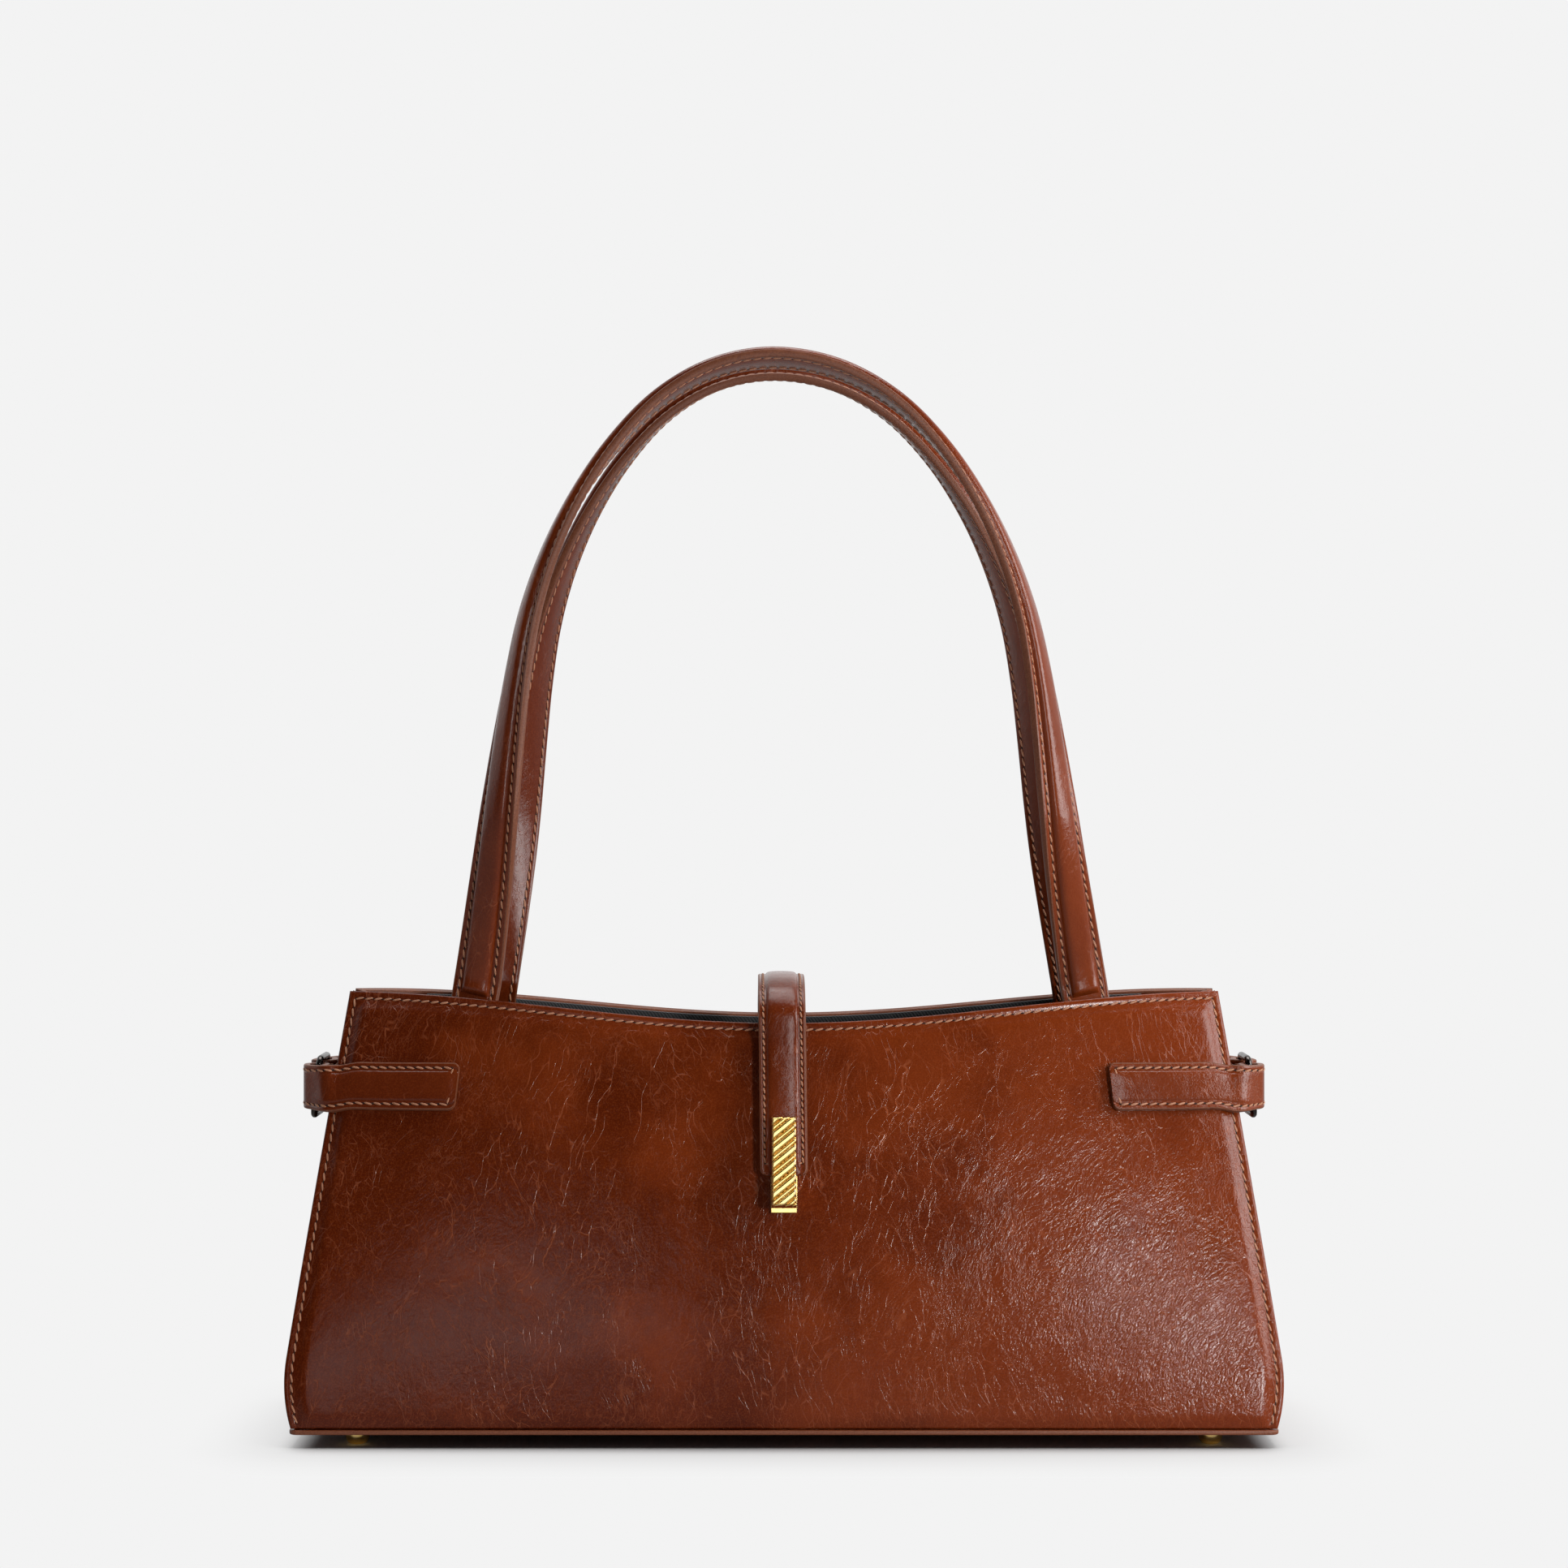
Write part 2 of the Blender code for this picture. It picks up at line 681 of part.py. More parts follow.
def handle_end_stations(span, side):
    """Stations of one sewn-in end, from its foot inside the bag up to the hinge line."""
    along_across = across_at(span / 2, 1.0) * side
    foot, along_x, along_z, outward = handle_foot(span)
    if side == LEFT:
        foot = Vector((-foot.x, foot.y, foot.z))
        along_x = Vector((along_x.x, -along_x.y, -along_x.z))
        outward = Vector((-outward.x, outward.y, outward.z))
    top = edge_height(along_across)
    stations = []
    for depth in end_depths(HANDLE_END_DEPTH):
        level = up_at(top - depth, along_across)
        x_dir, z_dir = front_tangents(along_across, level)
        out = x_dir.cross(z_dir).normalized()
        place = front_point(along_across, level, handle_layers())
        inset = rounded_end(HANDLE_END_DEPTH - depth, TAB_CORNER)
        stations.append((place, x_dir, out, inset, 0.0))
    level_out = Vector((outward.x, outward.y, 0)).normalized()
    level_across = Vector((-level_out.y, level_out.x, 0))
    stations.append((foot - Vector((0, 0, FOLD_GAP / 2)), level_across, level_out, 0.0, 0.0))
    return stations


def make_handles(parts, leather):
    section = strap_profile(HANDLE_WIDTH, HANDLE_FLANGE, HANDLE_PAD, HANDLE_PAD_WIDTH)
    flat = strap_profile(HANDLE_WIDTH, HANDLE_FLANGE, 0.0, HANDLE_PAD_WIDTH)
    for name, span, shift, sway, face in (
        ("front", FRONT_HANDLE_SPAN, FRONT_HANDLE_SHIFT, FRONT_HANDLE_SWAY, FRONT),
        ("back", BACK_HANDLE_SPAN, BACK_HANDLE_SHIFT, BACK_HANDLE_SWAY, BACK),
    ):
        turn = Vector if face == FRONT else mirror_y
        path = handle_path(span, shift, sway)
        stations = [(turn(p), turn(a), turn(n), i, pad) for p, a, n, i, pad in path]
        handle = strap(f"{name}_handle", stations, section, HANDLE_WIDTH, leather, parts)
        y, z = hinge_line(span)
        origin = Vector((0.0, y if face == FRONT else -y, z))
        handle.data.transform(Matrix.Translation(-origin))
        handle.location = origin
        for side_name, side in (("left", LEFT), ("right", RIGHT)):
            ends = handle_end_stations(span, side)
            move = Vector((shift, 0, 0))
            ends = [(turn(p + move), turn(a), turn(n), i, pad) for p, a, n, i, pad in ends]
            label = f"{name}_handle_end_{side_name}"
            strap(label, ends, flat, HANDLE_WIDTH, leather, parts)


# Closure tab and clasp

def tab_depth():
    """How far the tab's middle stands out from the front panel's border plane."""
    return PAD_RISE + TAB_STANDOFF + TAB_FLANGE / 2


def anchor_depth():
    return PAD_RISE + CLEARANCE + TAB_FLANGE / 2


def tab_hinge():
    """(y, z) of the line that the tab folds back on, at its outer face over the back edge."""
    top = edge_height(0)
    along_z = front_tangents(0, 1.0)[1]
    place = front_point(0, 1.0, -anchor_depth())
    lift = 0.0030
    place = place + along_z * (lift + top - place.z)
    return -place.y + TAB_FLANGE / 2 + CLEARANCE / 2, place.z


def tab_path():
    """The tab's centreline, from its hinge over the mouth and down the front."""
    hinge_y, hinge_z = tab_hinge()
    top = edge_height(0)
    start_y = hinge_y - TAB_FLANGE / 2 - CLEARANCE / 2
    front_edge = front_point(0, 1.0, -tab_depth())
    reach = (start_y - front_edge.y) / 2
    middle = start_y - reach
    peak = top + TAB_ARCH
    points = [
        Vector((0, start_y, hinge_z + FOLD_GAP / 2)),
        Vector((0, middle + reach * 0.72, peak - 0.0020)),
        Vector((0, middle, peak)),
        Vector((0, middle - reach * 0.66, peak - 0.0022)),
        Vector((0, front_edge.y - 0.0004, top + 0.0040)),
    ]
    for share in (0.17, 0.44, 0.71, 1.0):
        level = up_at(mix(top, TAB_END_HEIGHT, share))
        points.append(front_point(0, level, -tab_depth()))
    path = smooth_path(points, 4)
    for i, point in enumerate(path):
        point.x = -TAB_DRIFT * (1 - i / (len(path) - 1))
    return path


def make_tab(parts, leather):
    section = strap_profile(TAB_WIDTH, TAB_FLANGE, TAB_PAD, TAB_PAD_WIDTH)
    path = tab_path()
    end = path[-1]
    distances = [(point - end).length for point in path]
    corner_steps = [0.0016, 0.0008, 0.0003]
    last = direction_at(path, len(path) - 1)
    path = [p for p, far in zip(path, distances) if far > TAB_CORNER] + [
        end - last * step for step in (TAB_CORNER, *corner_steps, 0.0)
    ]
    stations = []
    for i, point in enumerate(path):
        along = direction_at(path, i) if i else Vector((0, 0, 1))
        outward = along.cross(Vector((1, 0, 0))).normalized()
        inset = rounded_end((point - end).length, TAB_CORNER)
        near_end = (point - end).length / 0.006
        near_start = (point - path[0]).length / 0.006
        stations.append((point, Vector((1, 0, 0)), outward, inset, ease(min(near_end, near_start))))
    tab = strap("closure_tab", stations, section, TAB_WIDTH, leather, parts)
    hinge_y, hinge_z = tab_hinge()
    origin = Vector((0.0, hinge_y, hinge_z))
    tab.data.transform(Matrix.Translation(-origin))
    tab.location = origin

    flat = strap_profile(TAB_WIDTH, TAB_FLANGE, 0.0, TAB_PAD_WIDTH)
    top = edge_height(0)
    anchor = []
    for depth in end_depths(TAB_ANCHOR_DEPTH):
        level = up_at(top - depth)
        out = front_tangents(0, level)[0].cross(front_tangents(0, level)[1]).normalized()
        place = front_point(0, level, -anchor_depth())
        inset = rounded_end(TAB_ANCHOR_DEPTH - depth, TAB_CORNER)
        place = to_back(place) - Vector((TAB_DRIFT, 0, 0))
        anchor.append((place, Vector((1, 0, 0)), to_back(out), inset, 0.0))
    upper_y = hinge_y - TAB_FLANGE / 2 - CLEARANCE / 2
    upper = Vector((-TAB_DRIFT, upper_y, hinge_z - FOLD_GAP / 2))
    anchor.append((upper, Vector((1, 0, 0)), Vector((0, 1, 0)), 0.0, 0.0))
    strap("tab_anchor", anchor, flat, TAB_WIDTH, leather, parts)
    return tab


def clasp_frame():
    """Middle of the bar's back face, and the lean of the panel behind it."""
    middle_height = TAB_END_HEIGHT - BAR_OVERHANG + BAR_LENGTH / 2
    level = up_at(middle_height)
    along_z = front_tangents(0, level)[1]
    lean = math.atan2(along_z.y, along_z.z)
    stand = PAD_RISE + TAB_STANDOFF + TAB_FLANGE + TAB_PAD + CLEARANCE
    return front_point(0, level, -stand), lean


def bar_surface(x, z):
    """How far the ribbed front of the bar stands out at a place on its face."""
    half = BAR_WIDTH / 2
    end = BAR_LENGTH / 2
    across = min(1.0, abs(x) / half)
    crown = math.sqrt(max(0.0, 1 - across**2.6))
    to_end = max(0.0, end - abs(z))
    nose = math.sqrt(max(0.0, 1 - max(0.0, 1 - to_end / 0.0022) ** 2))
    phase = (z - x * math.tan(BAR_RIB_SLOPE)) / BAR_RIB_PITCH % 1.0
    rib = BAR_RIB_RISE * crown * nose * max(
        height * math.sqrt(max(0.0, 1 - ((phase - middle) / half_run) ** 2))
        for middle, half_run, height in BAR_RIBS
    )
    body = BAR_THICKNESS - BAR_RIB_RISE
    return body * (0.45 + 0.55 * crown * nose) + rib


def make_clasp(parts, cutters, gold, steel, tab):
    """The ribbed bar with its thick foot, its back plate, screws and magnets, and its seat."""
    centre, lean = clasp_frame()
    tilt = (-lean, 0, 0)
    foot_back = TAB_STANDOFF + TAB_FLANGE + TAB_PAD - SEAT_THICKNESS - CLEARANCE

    shape = bmesh.new()
    columns, rows = 12, 64
    bmesh.ops.create_grid(shape, x_segments=columns, y_segments=rows, size=1.0)
    for corner in shape.verts:
        x = corner.co.x * BAR_WIDTH / 2
        z = corner.co.y * BAR_LENGTH / 2
        corner.co = Vector((x, -bar_surface(x, z), z))
    rim = [edge for edge in shape.edges if edge.is_boundary]
    sides = bmesh.ops.extrude_edge_only(shape, edges=rim)["geom"]
    for corner in (item for item in sides if isinstance(item, bmesh.types.BMVert)):
        corner.co.y = 0.0
    bmesh.ops.holes_fill(shape, edges=[edge for edge in shape.edges if edge.is_boundary], sides=0)
    bmesh.ops.recalc_face_normals(shape, faces=shape.faces)
    bar = add_object("clasp_bar", finished_mesh("clasp_bar", shape), gold, parts, centre, tilt)

    low = -BAR_LENGTH / 2 + 0.0003
    shape = bmesh.new()
    foot_size = (BAR_WIDTH - 0.0006, foot_back + 0.001, BAR_FOOT_LENGTH)
    foot_centre = (0, (foot_back - 0.001) / 2, low + BAR_FOOT_LENGTH / 2)
    box(shape, foot_size, foot_centre)
    foot = add_cutter("clasp_foot_block", shape, cutters, centre, tilt)
    join = bar.modifiers.new("foot", "BOOLEAN")
    join.operation = "UNION"
    join.solver = "EXACT"
    join.object = foot

    turn_back = (-lean - math.pi / 2, 0, 0)
    rotation = Matrix.Rotation(-lean, 4, "X")

    def on_bar(x, y, z):
        return centre + rotation @ Vector((x, y, z))

    magnet_radius = MAGNET_DIAMETER / 2
    recess = bmesh.new()
    cylinder(recess, magnet_radius + CLEARANCE, -MAGNET_THICKNESS - CLEARANCE, 0.002)
    magnet_place = on_bar(0, foot_back, low + BAR_FOOT_LENGTH / 2)
    pocket = add_cutter("magnet_pocket", recess, cutters, magnet_place, turn_back)
    cut(bar, pocket)
    disc = [(0.0, 0.0), (magnet_radius, 0.0), (magnet_radius, -MAGNET_THICKNESS), (0.0, -MAGNET_THICKNESS)]
    turned("clasp_magnet", disc, steel, parts, magnet_place, turn_back)

    plate_middle = BAR_LENGTH / 2 - BACK_PLATE_LENGTH / 2 - 0.002
    tab_back = TAB_PAD + TAB_FLANGE + CLEARANCE
    plate_y = tab_back + CLEARANCE
    shape = bmesh.new()
    plate_size = (BAR_WIDTH, BACK_PLATE_THICKNESS, BACK_PLATE_LENGTH)
    box(shape, plate_size, (0, plate_y + BACK_PLATE_THICKNESS / 2, plate_middle))
    plate = add_object(
        "clasp_back_plate", finished_mesh("clasp_back_plate", shape), steel, parts, centre, tilt
    )

    shank_depth = 0.0022
    drill = bmesh.new()
    for share in (-0.5, 0.5):
        z = plate_middle + share * SCREW_SPACING
        cylinder(drill, SCREW_SHANK / 2 + CLEARANCE, -plate_y - 0.004, shank_depth + CLEARANCE, 0, z)
    drill_turn = (-lean + math.pi / 2, 0, 0)
    drill_cutter = add_cutter("screw_holes", drill, cutters, centre, drill_turn)
    for target in (tab, plate, bar):
        cut(target, drill_cutter)
    head_y = plate_y + BACK_PLATE_THICKNESS + CLEARANCE
    for label, share in (("lower", -0.5), ("upper", 0.5)):
        place = on_bar(0, head_y + SCREW_HEAD_THICKNESS, plate_middle + share * SCREW_SPACING)
        shank_end = -(head_y + SCREW_HEAD_THICKNESS + shank_depth)
        screw = [
            (0.0, 0.0),
            (SCREW_HEAD / 2, 0.0),
            (SCREW_HEAD / 2, -SCREW_HEAD_THICKNESS),
            (SCREW_SHANK / 2, -SCREW_HEAD_THICKNESS),
            (SCREW_SHANK / 2, shank_end),
            (0.0, shank_end),
        ]
        turned(f"clasp_screw_{label}", screw, steel, parts, place, turn_back)

    seat_low = -BAR_LENGTH / 2 - 0.0012
    seat_back = foot_back + CLEARANCE + SEAT_THICKNESS / 2
    shape = bmesh.new()
    box(shape, (BAR_WIDTH + 0.0004, SEAT_THICKNESS, SEAT_HEIGHT), (0, seat_back, seat_low + SEAT_HEIGHT / 2))
    add_object("clasp_seat", finished_mesh("clasp_seat", shape), gold, parts, centre, tilt)

    panel_magnet = [(0.0, 0.0), (magnet_radius, 0.0), (magnet_radius, -MAGNET_THICKNESS)]
    panel_magnet.append((0.0, -MAGNET_THICKNESS))
    behind = on_bar(0, foot_back, low + BAR_FOOT_LENGTH / 2)
    level = up_at(behind.z)
    inside = front_point(0, level, PANEL_LEATHER - PAD_RISE + 2 * CLEARANCE + MAGNET_THICKNESS)
    turned("panel_magnet", panel_magnet, steel, parts, inside, turn_back)
    hole = bmesh.new()
    cylinder(hole, magnet_radius + 2 * CLEARANCE, -0.006, 0.006)
    hole_cutter = add_cutter("padding_hole", hole, cutters, inside, turn_back)
    cut(bpy.data.objects["front_padding"], hole_cutter)


# Side straps

def strap_layer():
    """How far a side strap's middle stands out from the panel's border plane."""
    return PAD_RISE + CLEARANCE + STRAP_LEATHER / 2


def ring_centre():
    """Middle of the right ring, halfway between its two upright bars."""
    loop_height = STRAP_HEIGHT - STRAP_DROP
    edge = front_surface(1.0, up_at(loop_height, 1.0))
    return Vector((edge.x + RING_REACH, 0.0, loop_height - RING_DROP))


def side_strap_stations():
    """Stations of the right front strap: its stitched end, the panel's edge, the ring, its tail."""
    stations = []
    start = up_at(STRAP_HEIGHT, 0.75)
    first = across_at(STRAP_END, start)
    reach = ring_centre().x - STRAP_END
    for step in (0.0, 0.0003, 0.0008, 0.0015, STRAP_CORNER, 0.008, 0.015, 0.022, 0.029, 0.036, 0.042):
        across = first + across_at(step, start)
        level = up_at(STRAP_HEIGHT - STRAP_DROP * step / reach, across)
        x_dir, z_dir = front_tangents(across, level)
        out = x_dir.cross(z_dir).normalized()
        place = front_point(across, level, -strap_layer())
        stations.append((place, z_dir, out, rounded_end(step, STRAP_CORNER), ease(step / 0.004)))
    last_place, last_up, _, _, _ = stations[-1]
    last_along = (stations[-1][0] - stations[-2][0]).normalized()

    bar = ring_centre() + Vector((0, -RING_SPREAD / 2, 0))
    radius = RING_WIRE / 2 + LOOSE_FIT + STRAP_LEATHER / 2
    turn_points = [
        bar + Vector((math.cos(angle), math.sin(angle), 0)) * radius
        for angle in [math.radians(a) for a in (-12, 18, 48, 78, 108, 138, 168, 190)]
    ]
    tail = [turn_points[-1] + Vector((0.0004, -STRAP_TAIL * 0.55, 0))]
    tail.append(turn_points[-1] + Vector((0.0010, -STRAP_TAIL, 0)))
    run = [last_place, last_place + last_along * 0.005, turn_points[0] + Vector((-0.0012, -0.0040, 0))]
    for point in run + turn_points + tail:
        point.z = STRAP_HEIGHT - STRAP_DROP
    run[0].z = last_place.z
    run[1].z = mix(last_place.z, STRAP_HEIGHT - STRAP_DROP, 0.5)
    path = smooth_path(run, 3)[1:] + turn_points[1:] + tail
    for i, point in enumerate(path):
        share = ease((i + 1) / 6)
        up = (last_up * (1 - share) + Vector((0, 0, 1)) * share).normalized()
        trail = [last_place, *path]
        along = direction_at(trail, i + 1)
        out = along.cross(up).normalized()
        up = out.cross(along).normalized()
        inset = (STRAP_WIDTH - LOOP_WIDTH) / 2 * share
        stations.append((point, up, out, inset, 1 - share))
    return stations


def make_side_straps(parts, leather, steel):
    section = strap_profile(STRAP_WIDTH, STRAP_LEATHER, STRAP_PAD, STRAP_WIDTH * 0.62)
    stations = side_strap_stations()
    for side_name, side in (("left", LEFT), ("right", RIGHT)):
        for face_name, face in (("front", FRONT), ("back", BACK)):
            scale = Vector((side, 1 if face == FRONT else -1, 1))
            turned_stations = [
                (scale * p, scale * a, scale * n, inset, pad) for p, a, n, inset, pad in stations
            ]
            name = f"{side_name}_side_strap_{face_name}"
            strap(name, turned_stations, section, STRAP_WIDTH, leather, parts)
        make_ring(f"{side_name}_side_ring", side, steel, parts)


def make_ring(name, side, finish, group):
    """A rectangular wire ring that joins the two halves of a side strap."""
    half_y = RING_SPREAD / 2
    half_z = (RING_OPENING + RING_WIRE) / 2
    outline = []
    for turn, (y, z) in zip(range(4), ((1, 1), (-1, 1), (-1, -1), (1, -1))):
        for step in range(5):
            angle = math.radians(90 * turn + 22.5 * step)
            corner_y = y * (half_y - RING_CORNER) + RING_CORNER * math.cos(angle)
            corner_z = z * (half_z - RING_CORNER) + RING_CORNER * math.sin(angle)
            outline.append((corner_y, corner_z))
    curve = bpy.data.curves.new(name, "CURVE")
    curve.dimensions = "3D"
    curve.bevel_depth = RING_WIRE / 2
    curve.bevel_resolution = 2
    line = curve.splines.new("POLY")
    line.points.add(len(outline) - 1)
    for point, (y, z) in zip(line.points, outline):
        point.co = (0.0, y, z, 1.0)
    line.use_cyclic_u = True
    centre = ring_centre()
    made = bpy.data.objects.new(name, curve)
    made.location = (side * centre.x, centre.y, centre.z)
    made.rotation_euler = (0, -side * RING_LEAN, 0)
    curve.materials.append(finish)
    group.objects.link(made)


def main():
    clear_scene()
    parts = collection("tote_bag")
    cutters = collection("cutters")
    leather = material("cognac_leather", (0.165, 0.030, 0.012), 0.32)
    gold = material("polished_gold", (0.80, 0.52, 0.16), 0.20, 1.0)
    steel = material("plated_steel", (0.55, 0.55, 0.56), 0.35, 1.0)
    cloth = material("black_lining", (0.012, 0.012, 0.013), 0.85)
    foam = material("padding_sheet", (0.70, 0.66, 0.58), 0.95)
    board = material("fibre_board", (0.30, 0.24, 0.18), 0.90)

    make_panels(parts, leather, foam)
    make_gussets(parts, leather)
    make_base(parts, cutters, leather, board)
    make_feet(parts, gold, steel)
    make_lining(parts, cloth)
    make_handles(parts, leather)
    tab = make_tab(parts, leather)
    make_clasp(parts, cutters, gold, steel, tab)
    make_side_straps(parts, leather, steel)


main()
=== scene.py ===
"""Looks of the leather tote bag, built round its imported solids.

Metres, +Z up. The front faces -Y and the origin is on the floor, under the middle of the bag.
"""

import bisect
import json
import math

import bmesh
import bpy
from mathutils import Matrix, Vector, noise
from mathutils.geometry import interpolate_bezier

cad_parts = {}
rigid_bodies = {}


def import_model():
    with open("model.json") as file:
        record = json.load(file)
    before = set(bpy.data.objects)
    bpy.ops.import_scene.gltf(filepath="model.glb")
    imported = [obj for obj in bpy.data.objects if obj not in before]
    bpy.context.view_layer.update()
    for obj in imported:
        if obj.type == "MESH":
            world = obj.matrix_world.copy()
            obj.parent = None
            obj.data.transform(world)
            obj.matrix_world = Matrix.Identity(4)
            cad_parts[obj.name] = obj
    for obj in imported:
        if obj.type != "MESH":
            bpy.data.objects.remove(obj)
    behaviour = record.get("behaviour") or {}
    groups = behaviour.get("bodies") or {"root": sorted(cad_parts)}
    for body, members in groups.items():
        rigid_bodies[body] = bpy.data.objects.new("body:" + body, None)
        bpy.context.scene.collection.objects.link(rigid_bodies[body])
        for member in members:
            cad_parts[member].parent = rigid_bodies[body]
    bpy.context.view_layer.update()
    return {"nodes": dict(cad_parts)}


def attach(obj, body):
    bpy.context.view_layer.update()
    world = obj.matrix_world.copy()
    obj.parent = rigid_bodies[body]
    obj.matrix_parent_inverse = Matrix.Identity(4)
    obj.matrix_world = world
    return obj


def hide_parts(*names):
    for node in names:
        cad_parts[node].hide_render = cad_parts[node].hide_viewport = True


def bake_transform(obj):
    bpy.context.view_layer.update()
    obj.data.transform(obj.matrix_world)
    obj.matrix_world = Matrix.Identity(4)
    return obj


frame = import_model()

# Fits
CLEARANCE = 0.0004
LOOSE_FIT = 0.0012
FOLD_GAP = 0.0006

# Body
SIDE_LINE_WIDTH = 0.3486
TOP_WIDTH = 0.307
CORNER_HEIGHT = 0.153
MOUTH_SAG = 0.010
BASE_DEPTH = 0.100
MOUTH_DEPTH = 0.052
CORNER_DEPTH = 0.016
SIDE_TUCK = 0.0087
TUCK_HEIGHT = 0.030
FRONT_BOW = 1.6
SIDE_BOW = 1.2
CROWN = 2.5

# Leather and what is under it
PANEL_LEATHER = 0.0020
PAD_RISE = 0.0012
BORDER = 0.0045
BORDER_SLOPE = 0.0025
PADDING_THICKNESS = 0.0020
PADDING_MARGIN = 0.0100
GUSSET_LEATHER = 0.0012
GUSSET_FOLD = 0.036
GUSSET_FLAT = 0.15
GUSSET_BULGE = 0.0015
SEAM_INSET = 0.0008
LINING_FABRIC = 0.0008
LINING_DROP = 0.0005
LINING_CORNER_LOW = 0.955
LINING_CORNER_HIGH = 0.84
BASE_LEATHER = 0.0017
BASE_FLANGE = 0.0006
BASE_CORNER = 0.003
BASE_ROUND = 0.0005
BOARD_THICKNESS = 0.0020
WASHER_THICKNESS = 0.0008

# Feet
FOOT_DIAMETER = 0.0084
FOOT_HEIGHT = 0.0042
FOOT_INSET_X = 0.0218
FOOT_INSET_Y = 0.0088
FOOT_FACE_DIAMETER = 0.0050
FOOT_STUD = 0.0024
FOOT_RIM = 0.0006  # height of a foot's upright rim, over its dome
FOOT_EDGE = ((0.0003, 0.0), (0.0001, 0.0001), (0.0, 0.0003))  # inward and down, round that rim's top

# Handles
HANDLE_RISE = 0.2190
FRONT_HANDLE_SPAN = 0.2136
BACK_HANDLE_SPAN = 0.2082
FRONT_HANDLE_SHIFT = -0.0013
BACK_HANDLE_SHIFT = 0.0002
FRONT_HANDLE_SWAY = -0.0025
BACK_HANDLE_SWAY = -0.0039
HANDLE_WIDTH = 0.0168
HANDLE_FLANGE = 0.0028
HANDLE_PAD = 0.0026
HANDLE_PAD_WIDTH = 0.0100
HANDLE_OFFSET = 0.0225
HANDLE_LIFT = 0.0040
HANDLE_END_DEPTH = 0.032
HANDLE_FOOT_LEAN = math.radians(8.6)  # of a sewn-in end, in the panel's plane
HANDLE_TWIST = math.radians(98.7)
TWIST_EASE = 1.6
HANDLE_GATHER = 0.30  # share of the rise over which the legs come in to the middle
PAD_END_GAP = 0.0010  # from the mouth's edge to a pad's blunt end
PAD_END_RUN = 0.0028
ARCH = (
    (1.000, 1.000, 0.000),
    (0.969, 0.966, 0.100),
    (0.939, 0.933, 0.199),
    (0.911, 0.905, 0.299),
    (0.883, 0.879, 0.398),
    (0.850, 0.849, 0.498),
    (0.805, 0.807, 0.596),
    (0.735, 0.741, 0.691),
    (0.639, 0.650, 0.781),
    (0.517, 0.533, 0.864),
    (0.370, 0.386, 0.935),
    (0.194, 0.204, 0.983),
    (0.000, 0.000, 1.000),
)  # share of the half span on the left leg and on the right one, share of the rise

# Closure tab and clasp
TAB_WIDTH = 0.0164
TAB_FLANGE = 0.0026
TAB_PAD = 0.0010
TAB_PAD_WIDTH = 0.0108
TAB_PAD_RUN = 0.006
TAB_STANDOFF = 0.0024
TAB_END_HEIGHT = 0.0910
TAB_ANCHOR_DEPTH = 0.032
TAB_ARCH = 0.0139
TAB_DRIFT = 0.0014
TAB_BEND = ((0.72, 0.0020), (0.0, 0.0), (-0.66, 0.0022))  # share of its reach, drop from its peak
TAB_BEND_END = (0.0004, 0.0040)  # out from the mouth's front edge and up
TAB_CORNER = 0.0022
TAB_LIFT = 0.0030
BAR_WIDTH = 0.0086
BAR_LENGTH = 0.0310
BAR_THICKNESS = 0.0046
BAR_RIB_PITCH = 0.0051  # along the bar, for one broad and one narrow rib
BAR_RIB_RISE = 0.0009
BAR_RIB_SLOPE = math.radians(39)
BAR_RIBS = ((0.32, 0.28, 1.0), (0.79, 0.16, 0.85))  # middle and half width in a pitch, height
BAR_CROWN = 18  # power of the bar's rounding to its sides
BAR_NOSE = 0.0012  # how far the bar's ends are rounded
BAR_FOOT_LENGTH = 0.0108
BAR_FOOT_INSET = 0.0003  # from the bar's sides and lower end
BAR_FOOT_SINK = 0.001  # into the bar
BAR_FOOT_SHORT = 0.00003  # of the solid's foot
BAR_FOOT_ROUND = 0.0004
BAR_OVERHANG = 0.0115
SEAT_HEIGHT = 0.0135
SEAT_THICKNESS = 0.0008
SEAT_OVERHANG = 0.0012  # of the seat, below the bar's end
SEAT_EXTRA = 0.0004  # width, over the bar's
SEAT_ROUND = 0.00025

# Side straps and rings
STRAP_WIDTH = 0.0168
LOOP_WIDTH = 0.0154
STRAP_HEIGHT = 0.1203
STRAP_DROP = 0.0006
STRAP_LEATHER = 0.0024
STRAP_PAD = 0.0005
STRAP_PAD_WIDTH = STRAP_WIDTH * 0.62
STRAP_PAD_RUN = 0.004
STRAP_END = 0.113
STRAP_CORNER = 0.0022
STRAP_TAIL = 0.0068
BELT_STOPS = (0.0040, 0.008, 0.015, 0.022, 0.029, 0.036, 0.042)  # along the panel, past a corner
BELT_TURN = (-12, 18, 48, 78, 108, 138, 168, 190)  # degrees round the ring's bar
RING_WIRE = 0.0024
RING_OPENING = 0.0174
RING_SPREAD = 0.0196
RING_REACH = 0.0068
RING_CORNER = 0.0024
RING_DROP = 0.0006
RING_LEAN = math.radians(6)

